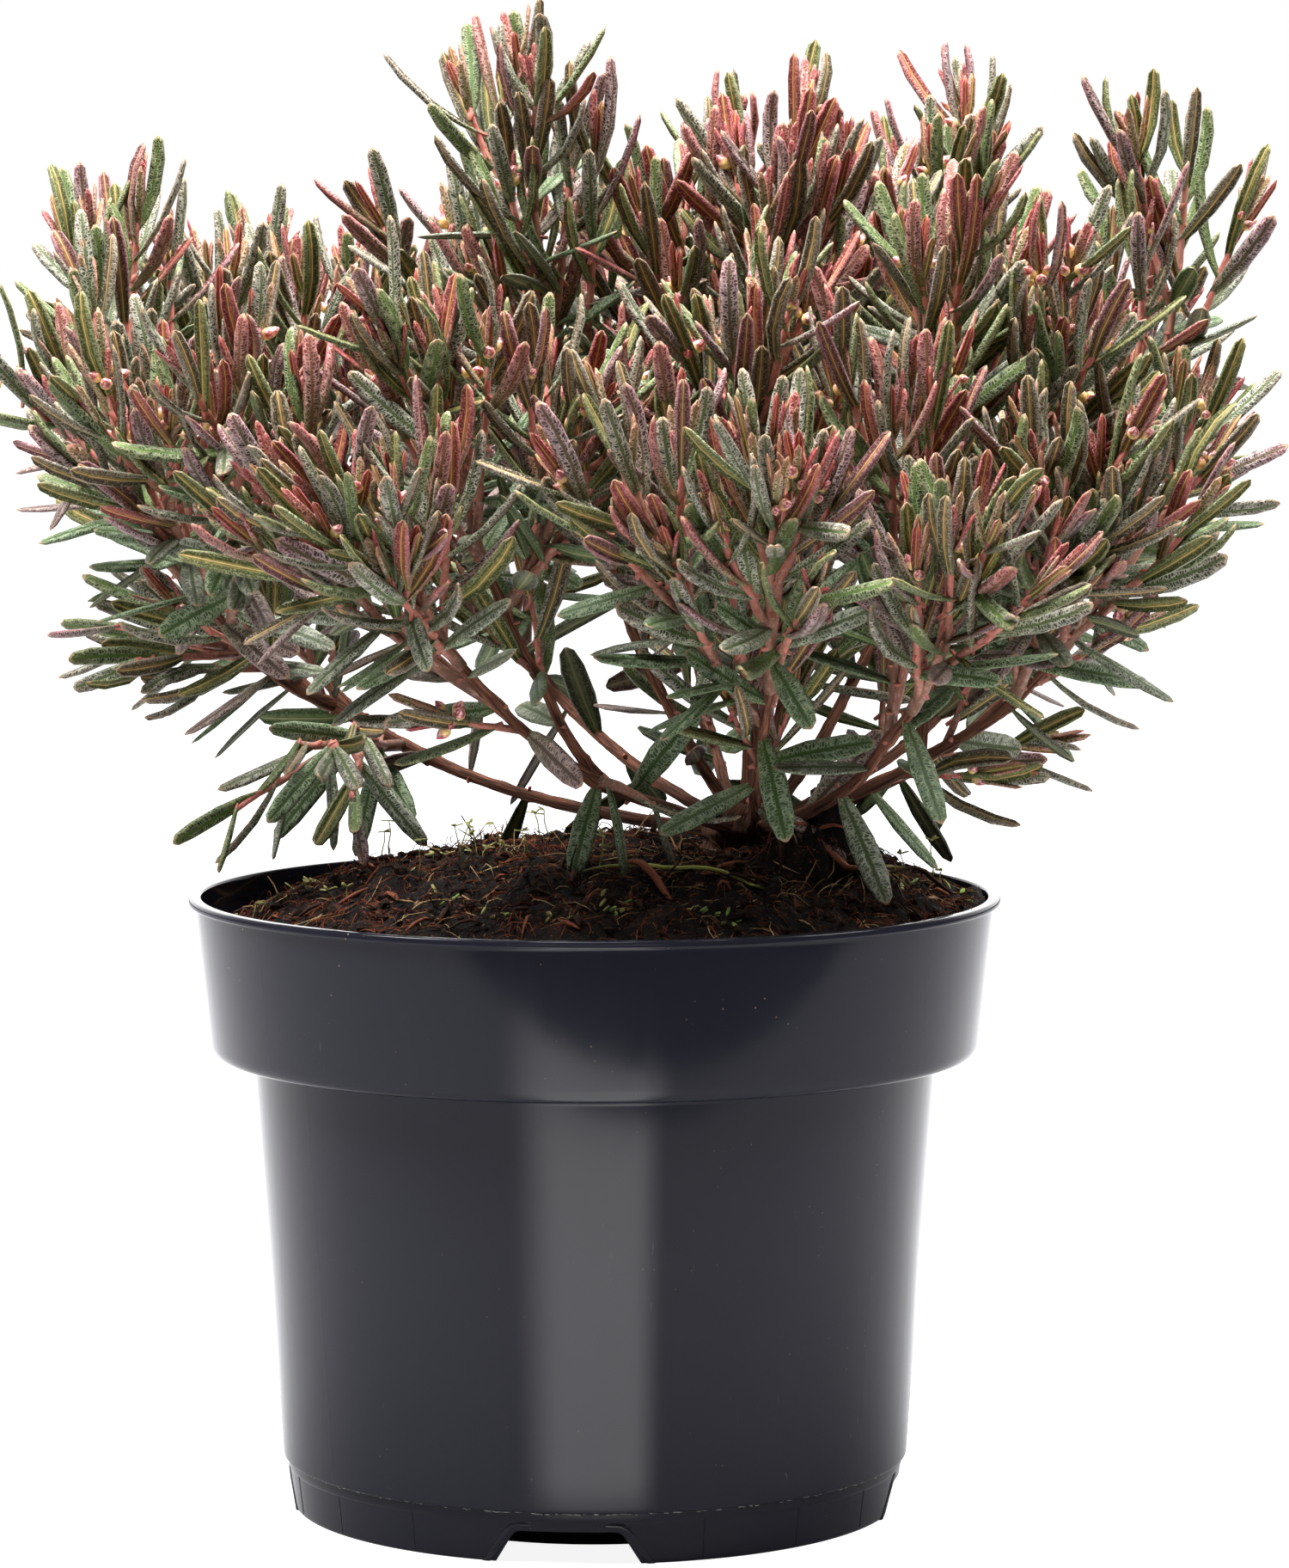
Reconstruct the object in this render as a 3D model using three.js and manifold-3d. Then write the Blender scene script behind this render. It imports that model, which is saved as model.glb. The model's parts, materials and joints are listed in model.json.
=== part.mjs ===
// A bog rosemary with narrow rolled leaves, growing as a low many-stemmed bush in a black nursery pot.
// Millimetres, Z up. The origin is the centre of the pot's underside, X runs to the right of the pot's
// front and Y runs to its back. Headings are degrees turned from X towards Y.

import * as THREE from "three";
import { mergeVertices } from "three/addons/utils/BufferGeometryUtils.js";
import Module from "manifold-3d";

const wasm = await Module();
wasm.setup();

// Driving sizes of the pot: a three litre container, 190 across the lip and 144 high.
const POT = {
  height: 144,
  wall: 1.2,
  lipRadius: 95,
  lipDepth: 1.8,
  lipRounding: 0.5,
  collarTopRadius: 93.3,
  collarBottomRadius: 89.9,
  collarHeight: 37,
  collarRounding: 1.4,
  bodyTopRadius: 80.2,
  bodyBottomRadius: 73.5,
  footTopRadius: 72.4,
  footRadius: 71,
  footHeight: 11.5,
  footRounding: 0.6,
  channelHeight: 7.6,
  channelInnerRadius: 51,
  channelSlope: 1.5,
  footRingWidth: 1.6,
  sides: 32,
};

// The four drainage notches in the foot, and the holes in the roof of the channel behind them.
const NOTCH = {
  count: 4,
  firstHeading: -94.5,
  topWidth: 24,
  bottomWidth: 33,
  height: 7.6,
  inset: 4,
  depth: 24,
};
const DRAIN = { count: 8, radius: 4, ringRadius: 60, depth: 6, sides: 8 };

// The peat that fills the pot: its height at the left wall and at the right one, and its mound.
const SOIL = {
  leftHeight: 134,
  rightHeight: 142,
  moundHeight: 13,
  moundRadius: 88,
  lump: { x: 57, y: 14, radius: 12, height: 7 },
  clearance: 0.7,
  wallDepth: 2,
  floorHeight: 9.4,
  plugRadius: 50,
  plugSlope: 3,
  plugFloor: 1.7,
  sides: 20,
  rings: 4,
};

// The short woody crown that all the stems rise from, off centre in the pot.
const CROWN = {
  x: 36,
  y: 4,
  foot: 148,
  flareTop: 151,
  neck: 155,
  head: 159,
  shoulder: 163,
  top: 165,
  stemFoot: 158,
  footRadius: 12.5,
  flareRadius: 10.5,
  neckRadius: 8.5,
  headRadius: 9.5,
  shoulderRadius: 7.6,
  topRadius: 3.8,
  lean: 3,
  flatness: 0.85,
  sides: 12,
};

// A stem thins from its foot to its tip, and the twigs and leaves of the foliage grow from a thinner one.
const STEM = { sides: 5, steps: 4, footRadius: 2.7, forkRadius: 2.1, tipRadius: 1.5, sideFork: 0.84 };
// A spread is how far a size varies from one to the next.
const SHOOT = {
  sides: 3,
  steps: 3,
  footRadius: 1.8,
  tipRadius: 1.2,
  flare: 0.7,
  lift: 0.4,
  leafyFrom: 0.05,
  twigCount: 2,
  firstTwigAt: 0.2,
  twigStretch: 0.45,
  twigLeafShare: 0.5,
  stations: 6,
};
const TWIG = {
  steps: 1,
  footRadius: 1.4,
  tipRadius: 1.1,
  angle: 42,
  angleSpread: 8,
  length: 24,
  lengthSpread: 9,
  rise: 6,
  flare: 0.5,
  lift: 0.35,
  leafyFrom: 0.3,
};
const LEAF = {
  length: 29.75,
  lengthSpread: 8.75,
  width: 10.5,
  thickness: 1.7,
  sunk: 0.2,
  freeFrom: 0.3,
  middle: 0.6,
  lowAngle: 70,
  tipAngle: 12,
  angleSpread: 10,
  turnSpread: 14,
  lastAt: 0.98,
  crowding: 0.7,
};

// The furthest that leaves reach from the pot's axis, and the top of the tallest shoot.
const REACH = { left: -139, right: 162, front: -138, back: 142, top: 351.5 };

// Pieces that touch on the real plant lie this far apart, and leaves turn by this angle up a stem.
const SEAT = 0.3;
const GOLDEN_ANGLE = 137.5;
const TRIES = 6;

// Each bough rises from the crown or forks from another bough at a fraction of its length. Its first
// shoot is the one it runs into, and the others leave it "at" a fraction of its length. A shoot's tip
// lies at a heading and a reach from the crown, and at a height over the ground. "flare" says how far out
// a stem runs before it turns up, and "lift" how much of its rise it has made by then. A shoot's leaves
// hang by its "droop".
const BOUGHS = [
  {
    name: "left_long",
    flare: 0.93,
    lift: 0.04,
    bare: 0.6,
    shoots: [
      { name: "left_tall", heading: 162, reach: 166, height: 297, leaves: 14 },
      { name: "left_outer", heading: 181, reach: 160, height: 266, leaves: 11 },
      { name: "left_low", at: 0.46, heading: 170, reach: 132, height: 207, leaves: 8, droop: 0.5 },
      { name: "left_hanging", at: 0.33, heading: -172, reach: 106, height: 180, leaves: 6, droop: 0.9 },
    ],
  },
  {
    name: "left_back",
    from: "left_long",
    at: 0.3,
    flare: 0.85,
    lift: 0.12,
    bare: 0.6,
    shoots: [
      { name: "left_back_tall", heading: 146, reach: 160, height: 287, leaves: 11 },
      { name: "left_back_inner", heading: 146, reach: 108, height: 279, leaves: 10 },
    ],
  },
  {
    name: "left_front",
    from: "left_long",
    at: 0.42,
    flare: 0.8,
    lift: 0.2,
    bare: 0.5,
    shoots: [
      { name: "left_front_red", heading: -164, reach: 142, height: 256, leaves: 11 },
      { name: "left_front_inner", heading: -153, reach: 128, height: 264, leaves: 11 },
    ],
  },
  {
    name: "front_left_low",
    flare: 0.85,
    lift: 0.3,
    bare: 0.66,
    shoots: [
      { name: "front_left_edge", heading: -129, reach: 126, height: 236, leaves: 11 },
      { name: "front_left_side", heading: -141, reach: 136, height: 245, leaves: 10 },
      { name: "front_hanging", at: 0.3, heading: -116, reach: 50, height: 168, leaves: 5, droop: 1.2 },
    ],
  },
  {
    name: "front_left_high",
    from: "front_left_low",
    at: 0.28,
    flare: 0.7,
    lift: 0.35,
    bare: 0.6,
    shoots: [
      { name: "front_left_top", heading: -137, reach: 96, height: 268, leaves: 11 },
      { name: "front_left_centre", heading: -122, reach: 72, height: 258, leaves: 10 },
    ],
  },
  {
    name: "left_tallest",
    flare: 0.8,
    lift: 0.3,
    bare: 0.5,
    shoots: [
      { name: "tallest", heading: -172, reach: 54, height: 337, leaves: 16 },
      { name: "tallest_low", heading: 160, reach: 74, height: 290, leaves: 10 },
    ],
  },
  {
    name: "centre",
    flare: 0.4,
    lift: 0.5,
    bare: 0.52,
    footRadius: 3,
    shoots: [
      { name: "centre_top", heading: -60, reach: 14, height: 311, leaves: 11 },
      { name: "centre_top_left", heading: 165, reach: 26, height: 304, leaves: 10 },
    ],
  },
  {
    name: "centre_back",
    flare: 0.6,
    lift: 0.4,
    bare: 0.55,
    shoots: [
      { name: "centre_top_right", heading: 40, reach: 38, height: 303, leaves: 10 },
      { name: "centre_back_top", heading: 112, reach: 52, height: 299, leaves: 10 },
    ],
  },
  {
    name: "back_right_tall",
    flare: 0.85,
    lift: 0.2,
    bare: 0.55,
    shoots: [
      { name: "back_right_top", heading: 53, reach: 90, height: 325, leaves: 11 },
      { name: "back_right_side", heading: 76, reach: 92, height: 286, leaves: 10 },
    ],
  },
  {
    name: "right_tall",
    flare: 0.95,
    lift: 0.12,
    bare: 0.55,
    shoots: [
      { name: "right_top", heading: 8, reach: 106, height: 313, leaves: 15 },
      { name: "right_outer", heading: -8, reach: 110, height: 262, leaves: 11 },
    ],
  },
  {
    name: "right_middle",
    from: "right_front",
    at: 0.3,
    flare: 0.75,
    lift: 0.35,
    bare: 0.55,
    shoots: [
      { name: "right_middle_top", heading: -40, reach: 60, height: 290, leaves: 11 },
      { name: "right_middle_side", heading: -30, reach: 84, height: 276, leaves: 10 },
    ],
  },
  {
    name: "right_front",
    flare: 0.85,
    lift: 0.32,
    bare: 0.6,
    shoots: [
      { name: "right_front_edge", heading: -33, reach: 108, height: 240, leaves: 11 },
      { name: "right_front_side", heading: -47, reach: 102, height: 247, leaves: 10 },
      { name: "right_hanging", at: 0.22, heading: -2, reach: 44, height: 176, leaves: 5, droop: 1.2 },
    ],
  },
  {
    name: "front_right",
    flare: 0.85,
    lift: 0.25,
    bare: 0.6,
    shoots: [
      { name: "front_right_edge", heading: -66, reach: 112, height: 230, leaves: 10 },
      { name: "front_right_top", heading: -63, reach: 76, height: 264, leaves: 10 },
    ],
  },
  {
    name: "front_centre",
    flare: 0.8,
    lift: 0.25,
    bare: 0.6,
    shoots: [
      { name: "front_centre_edge", heading: -88, reach: 106, height: 241, leaves: 11 },
      { name: "front_centre_low", heading: -106, reach: 100, height: 248, leaves: 11 },
    ],
  },
  {
    name: "front_middle",
    from: "front_centre",
    at: 0.3,
    flare: 0.6,
    lift: 0.4,
    bare: 0.55,
    shoots: [{ name: "front_middle_top", heading: -90, reach: 60, height: 274, leaves: 10 }],
  },
  {
    name: "back_left",
    flare: 0.85,
    lift: 0.2,
    bare: 0.6,
    shoots: [
      { name: "back_left_edge", heading: 124, reach: 142, height: 262, leaves: 11 },
      { name: "back_left_top", heading: 124, reach: 92, height: 281, leaves: 10 },
    ],
  },
  {
    name: "back_centre",
    flare: 0.85,
    lift: 0.2,
    bare: 0.6,
    shoots: [
      { name: "back_centre_edge", heading: 98, reach: 128, height: 256, leaves: 11 },
      { name: "back_centre_low", heading: 80, reach: 124, height: 246, leaves: 10 },
    ],
  },
  {
    name: "back_right",
    flare: 0.9,
    lift: 0.2,
    bare: 0.6,
    shoots: [
      { name: "back_right_edge", heading: 44, reach: 122, height: 262, leaves: 11 },
      { name: "back_right_low", heading: 25, reach: 116, height: 250, leaves: 10 },
    ],
  },
];

const COLOURS = {
  pot: { color: 0x2b2c30, roughness: 0.4, metalness: 0 },
  soil: { color: 0x3a281c, roughness: 1, metalness: 0 },
  bark: { color: 0x6e4a36, roughness: 0.8, metalness: 0 },
  foliage: { color: 0x55664a, roughness: 0.6, metalness: 0 },
};

const degrees = THREE.MathUtils.degToRad;
const UP = new THREE.Vector3(0, 0, 1);

// Random numbers from 0 to 1 that are the same on every run: a Lehmer generator.
const LEHMER = { modulus: 2147483647, multiplier: 16807, seedStep: 7919, seedStart: 101 };

function seededRandom(seed) {
  let state = (seed * LEHMER.seedStep + LEHMER.seedStart) % LEHMER.modulus;
  return () => {
    state = (state * LEHMER.multiplier) % LEHMER.modulus;
    return state / LEHMER.modulus;
  };
}

// A closed geometry as a solid that can be joined and cut.
function solidFrom(geometry, tolerance = 1e-4) {
  const bare = geometry.clone();
  bare.deleteAttribute("normal");
  bare.deleteAttribute("uv");
  const merged = mergeVertices(bare, tolerance);
  const corners = merged.index.array;
  const kept = [];
  for (let i = 0; i < corners.length; i += 3) {
    const [a, b, c] = [corners[i], corners[i + 1], corners[i + 2]];
    if (a !== b && b !== c && c !== a) kept.push(a, b, c);
  }
  const mesh = new wasm.Mesh({
    numProp: 3,
    vertProperties: new Float32Array(merged.attributes.position.array),
    triVerts: new Uint32Array(kept),
  });
  return new wasm.Manifold(mesh);
}

// The solid as a named mesh with its material.
function meshFrom(solid, name, look) {
  const made = solid.getMesh();
  const geometry = new THREE.BufferGeometry();
  geometry.setAttribute("position", new THREE.BufferAttribute(made.vertProperties, 3));
  geometry.setIndex(new THREE.BufferAttribute(made.triVerts, 1));
  geometry.computeVertexNormals();
  const mesh = new THREE.Mesh(geometry, new THREE.MeshStandardMaterial(look));
  mesh.name = name;
  return mesh;
}

// The largest body of a solid, with its sealed hollows filled and its loose scraps dropped.
function largestBody(solid) {
  const bodies = solid.decompose();
  return bodies.reduce((best, body) => (body.volume() > best.volume() ? body : best));
}

// The solid with corners that all but coincide drawn together, as they are in a stored mesh.
function settled(solid) {
  const made = solid.getMesh();
  const geometry = new THREE.BufferGeometry();
  geometry.setAttribute("position", new THREE.BufferAttribute(made.vertProperties, 3));
  geometry.setIndex(new THREE.BufferAttribute(made.triVerts, 1));
  return largestBody(solidFrom(geometry, 1e-3));
}

function turnedLathe(profile, sides) {
  const points = profile.map(([radius, height]) => new THREE.Vector2(radius, height));
  return new THREE.LatheGeometry(points, sides).rotateX(Math.PI / 2);
}

// The pot in section: foot ring, drainage channel, tapering body, deep collar and rolled lip.
function potProfile() {
  const { wall, height, channelHeight, channelInnerRadius, channelSlope, footHeight } = POT;
  const { footRounding, collarRounding, lipRounding } = POT;
  const collarFoot = height - POT.collarHeight;
  const ringInnerRadius = POT.footRadius - POT.footRingWidth;
  return [
    [0, 0],
    [channelInnerRadius, 0],
    [channelInnerRadius + channelSlope, channelHeight],
    [ringInnerRadius - channelSlope, channelHeight],
    [ringInnerRadius, 0],
    [POT.footRadius - footRounding, 0],
    [POT.footRadius, footRounding],
    [POT.footTopRadius, footHeight],
    [POT.bodyBottomRadius, footHeight + footRounding],
    [POT.bodyTopRadius, collarFoot],
    [POT.collarBottomRadius - collarRounding, collarFoot],
    [POT.collarBottomRadius, collarFoot + collarRounding],
    [POT.collarTopRadius, height - POT.lipDepth],
    [POT.lipRadius, height - POT.lipDepth],
    [POT.lipRadius, height - lipRounding],
    [POT.lipRadius - lipRounding, height],
    [POT.collarTopRadius - wall, height],
    [POT.collarBottomRadius - wall, collarFoot + wall],
    [POT.bodyTopRadius - wall, collarFoot + wall],
    [POT.bodyBottomRadius - wall, channelHeight + wall],
    [channelInnerRadius, channelHeight + wall],
    [channelInnerRadius - channelSlope, wall],
    [0, wall],
  ];
}

// One drainage notch: a trapezoid cut through the foot ring, wider at the ground.
function notchCutter(heading) {
  const belowGround = -1;
  const outline = new THREE.Shape();
  outline.moveTo(-NOTCH.bottomWidth / 2, belowGround);
  outline.lineTo(NOTCH.bottomWidth / 2, belowGround);
  outline.lineTo(NOTCH.topWidth / 2, NOTCH.height);
  outline.lineTo(-NOTCH.topWidth / 2, NOTCH.height);
  outline.closePath();
  const geometry = new THREE.ExtrudeGeometry(outline, { depth: NOTCH.depth, bevelEnabled: false });
  geometry.rotateX(Math.PI / 2);
  geometry.translate(0, -POT.channelInnerRadius - NOTCH.inset, 0);
  geometry.rotateZ(degrees(heading + 90));
  return solidFrom(geometry);
}

function drainCutter(heading) {
  const geometry = new THREE.CylinderGeometry(DRAIN.radius, DRAIN.radius, DRAIN.depth, DRAIN.sides);
  geometry.rotateX(Math.PI / 2);
  geometry.translate(DRAIN.ringRadius, 0, POT.channelHeight);
  geometry.rotateZ(degrees(heading));
  return solidFrom(geometry);
}

function makePot() {
  let pot = solidFrom(turnedLathe(potProfile(), POT.sides));
  for (let i = 0; i < NOTCH.count; i += 1) {
    pot = pot.subtract(notchCutter(NOTCH.firstHeading + (i * 360) / NOTCH.count));
  }
  for (let i = 0; i < DRAIN.count; i += 1) {
    pot = pot.subtract(drainCutter(NOTCH.firstHeading + ((i + 0.5) * 360) / DRAIN.count));
  }
  return pot;
}

// How high the peat lies at a place: low along the left wall, and a wide mound with a lump on it.
function soilHeight(x, y) {
  const fromRight = (POT.collarBottomRadius - x) / (2 * POT.collarBottomRadius);
  const edge = SOIL.rightHeight - (SOIL.rightHeight - SOIL.leftHeight) * fromRight ** 3;
  const out = Math.min(Math.hypot(x, y) / SOIL.moundRadius, 1);
  const fromLump = Math.hypot(x - SOIL.lump.x, y - SOIL.lump.y) / SOIL.lump.radius;
  return edge + SOIL.moundHeight * (1 - out ** 3) + SOIL.lump.height * Math.exp(-fromLump * fromLump);
}

// The peat: it follows the inside of the pot, and its top is raised by the mound.
function makeSoil() {
  const gap = POT.wall + SOIL.clearance;
  const collarFoot = POT.height - POT.collarHeight;
  const wallRadius = (height) =>
    THREE.MathUtils.mapLinear(
      height,
      collarFoot,
      POT.height,
      POT.collarBottomRadius - gap,
      POT.collarTopRadius - gap,
    );
  const topHeight = SOIL.leftHeight - SOIL.wallDepth;
  const profile = [
    [0, SOIL.plugFloor],
    [SOIL.plugRadius - SOIL.plugSlope, SOIL.plugFloor],
    [SOIL.plugRadius, SOIL.floorHeight],
    [POT.bodyBottomRadius - gap, SOIL.floorHeight],
    [POT.bodyTopRadius - gap, collarFoot + gap],
    [wallRadius(collarFoot + gap), collarFoot + gap],
  ];
  for (let ring = SOIL.rings; ring >= 0; ring -= 1) {
    profile.push([(wallRadius(topHeight) * ring) / SOIL.rings, topHeight]);
  }
  const geometry = turnedLathe(profile, SOIL.sides);
  const place = geometry.attributes.position;
  const onTop = topHeight - SOIL.wallDepth / 2;
  for (let i = 0; i < place.count; i += 1) {
    if (place.getZ(i) > onTop) {
      place.setZ(i, soilHeight(place.getX(i), place.getY(i)));
    }
  }
  return solidFrom(geometry);
}

// The woody crown: flared at its flat foot, waisted, with a knobbly head that the stems leave.
function crownSolid(extra) {
  const profile = [
    [0, CROWN.foot - extra],
    [CROWN.footRadius + extra, CROWN.foot - extra],
    [CROWN.flareRadius + extra, CROWN.flareTop],
    [CROWN.neckRadius + extra, CROWN.neck],
    [CROWN.headRadius + extra, CROWN.head],
    [CROWN.shoulderRadius + extra, CROWN.shoulder],
    [CROWN.topRadius + extra, CROWN.top + extra],
    [0, CROWN.top + extra],
  ];
  const geometry = turnedLathe(profile, CROWN.sides);
  const place = geometry.attributes.position;
  const rise = CROWN.top - CROWN.foot;
  for (let i = 0; i < place.count; i += 1) {
    const lean = (CROWN.lean * (place.getZ(i) - CROWN.foot)) / rise;
    place.setX(i, place.getX(i) + CROWN.x - CROWN.lean + lean);
    place.setY(i, place.getY(i) * CROWN.flatness + CROWN.y);
  }
  return solidFrom(geometry);
}

// A stretch of a longer curve.
class Stretch extends THREE.Curve {
  constructor(whole, start, end) {
    super();
    this.whole = whole;
    this.start = start;
    this.end = end;
  }

  getPoint(t) {
    return this.whole.getPoint(this.start + (this.end - this.start) * t);
  }
}

// The tip of a shoot, from its heading, reach and height.
function tipOf({ heading, reach, height }) {
  return new THREE.Vector3(
    CROWN.x + reach * Math.cos(degrees(heading)),
    CROWN.y + reach * Math.sin(degrees(heading)),
    height,
  );
}

// A stem that runs outwards from its foot and then turns up to its tip.
function risingCurve(foot, tip, flare, lift) {
  const turn = foot.clone().lerp(tip, flare);
  turn.z = foot.z + (tip.z - foot.z) * lift;
  return new THREE.QuadraticBezierCurve3(foot, turn, tip);
}

// A straight tapering cylinder bent along a curve: y of the cylinder becomes the way along it.
function bentLimb(curve, footRadius, tipRadius, sides, steps) {
  const geometry = new THREE.CylinderGeometry(1, 1, 1, sides, steps);
  const place = geometry.attributes.position;
  const foot = curve.getPoint(0);
  const tip = curve.getPoint(1);
  const side = new THREE.Vector3().crossVectors(tip.clone().sub(foot), UP);
  if (side.length() < 1e-3) side.set(1, 0, 0);
  side.normalize();
  for (let i = 0; i < place.count; i += 1) {
    const along = place.getY(i) + 0.5;
    const radius = THREE.MathUtils.lerp(footRadius, tipRadius, along);
    const centre = curve.getPoint(along);
    const forward = curve.getPoint(Math.min(along + 0.01, 1)).sub(curve.getPoint(Math.max(along - 0.01, 0)));
    const inner = new THREE.Vector3().crossVectors(side, forward.normalize()).normalize();
    const across = new THREE.Vector3().crossVectors(forward, inner);
    centre.addScaledVector(across, place.getX(i) * radius);
    centre.addScaledVector(inner, place.getZ(i) * radius);
    place.setXYZ(i, centre.x, centre.y, centre.z);
  }
  const solid = solidFrom(geometry);
  return solid.volume() < 0 ? solidFrom(reversed(geometry)) : solid;
}

// The same geometry with each face turned over.
function reversed(geometry) {
  const turned = geometry.toNonIndexed();
  const place = turned.attributes.position;
  const corner = new THREE.Vector3();
  for (let i = 0; i < place.count; i += 3) {
    corner.fromBufferAttribute(place, i + 1);
    place.setXYZ(i + 1, place.getX(i + 2), place.getY(i + 2), place.getZ(i + 2));
    place.setXYZ(i + 2, corner.x, corner.y, corner.z);
  }
  return turned;
}

// Two directions square to a given one and to each other.
function squareTo(direction) {
  const first = new THREE.Vector3().crossVectors(direction, UP);
  if (first.length() < 1e-3) first.set(1, 0, 0);
  first.normalize();
  const second = new THREE.Vector3().crossVectors(direction, first).normalize();
  return [first, second];
}

// The direction that leans away from a stem by an angle, on the side given by a turn round it.
function leaningFrom(stemDirection, turn, angle) {
  const [first, second] = squareTo(stemDirection);
  const outward = first.multiplyScalar(Math.cos(degrees(turn)));
  outward.addScaledVector(second, Math.sin(degrees(turn)));
  const leaning = stemDirection.clone().multiplyScalar(Math.cos(degrees(angle)));
  return leaning.addScaledVector(outward, Math.sin(degrees(angle))).normalize();
}

// A leaf of eight faces that starts inside its twig, with its flat side towards the stem. "from" cuts
// off that share of the leaf at its root, and "extra" makes it fatter all round.
function leafSolid(leaf, from = 0, extra = 0) {
  const across = new THREE.Vector3().crossVectors(leaf.stemDirection, leaf.direction).normalize();
  const normal = new THREE.Vector3().crossVectors(leaf.direction, across).normalize();
  const geometry = new THREE.OctahedronGeometry(1);
  geometry.scale(
    (leaf.length * (1 - from)) / 2 + extra,
    LEAF.width / 2 + extra,
    LEAF.thickness / 2 + extra,
  );
  const middle = leaf.root.clone();
  middle.addScaledVector(leaf.direction, (leaf.length * (1 + from)) / 2 - LEAF.sunk);
  geometry.applyMatrix4(new THREE.Matrix4().makeBasis(leaf.direction, across, normal).setPosition(middle));
  return solidFrom(geometry);
}

function boxesMeet(first, second) {
  return [0, 1, 2].every(
    (axis) => first.min[axis] <= second.max[axis] && second.min[axis] <= first.max[axis],
  );
}

// Everything already in place, which a new twig or leaf has to stay clear of.
class Placed {
  constructor() {
    this.pieces = [];
  }

  add(solid, owner) {
    this.pieces.push({ solid, owner, box: solid.boundingBox() });
  }

  touches(solid, owner) {
    const box = solid.boundingBox();
    const near = this.pieces.filter((piece) => piece.owner !== owner && boxesMeet(piece.box, box));
    return near.some((piece) => !piece.solid.intersect(solid).isEmpty());
  }
}

// The course of every bough and shoot, worked out before anything solid is made.
function layOutPlant() {
  const crownHead = new THREE.Vector3(CROWN.x, CROWN.y, CROWN.stemFoot);
  const courses = new Map();
  const pending = [...BOUGHS];
  while (pending.length > 0) {
    const bough = pending.shift();
    if (bough.from && !courses.has(bough.from)) {
      pending.push(bough);
      continue;
    }
    const parent = bough.from ? courses.get(bough.from) : null;
    const foot = parent ? parent.curve.getPoint(bough.at) : crownHead.clone();
    const curve = risingCurve(foot, tipOf(bough.shoots[0]), bough.flare, bough.lift);
    courses.set(bough.name, { bough, parent, curve });
  }
  return courses;
}

// The course of each shoot: the first goes on along its bough, and the next leaves just below its end.
function shootCourses(course) {
  const { bough, curve } = course;
  return bough.shoots.map((shoot, index) => {
    if (index === 0) return { course, shoot, curve: new Stretch(curve, bough.bare, 1) };
    const foot = curve.getPoint(shoot.at ?? bough.bare * STEM.sideFork);
    return { course, shoot, curve: risingCurve(foot, tipOf(shoot), SHOOT.flare, SHOOT.lift) };
  });
}

function boughRadius(course, at) {
  const foot = course.bough.footRadius ?? (course.parent ? STEM.forkRadius : STEM.footRadius);
  return THREE.MathUtils.lerp(foot, STEM.tipRadius, at / course.bough.bare);
}

function boughSolid(course, extra) {
  const curve = new Stretch(course.curve, 0, course.bough.bare);
  const foot = boughRadius(course, 0) + extra;
  const tip = boughRadius(course, course.bough.bare) + extra;
  return bentLimb(curve, foot, tip, STEM.sides, STEM.steps);
}

function withinReach(point) {
  const { left, right, front, back, top } = REACH;
  return point.x > left && point.x < right && point.y > front && point.y < back && point.z < top;
}

// Whether a point is nearer to its own shoot than to any other.
function inOwnSpace(point, own, axes) {
  let nearest = null;
  let least = Infinity;
  for (const axis of axes) {
    for (const station of axis.stations) {
      const distance = station.distanceTo(point);
      if (distance < least) {
        least = distance;
        nearest = axis.name;
      }
    }
  }
  return nearest === own;
}

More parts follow.
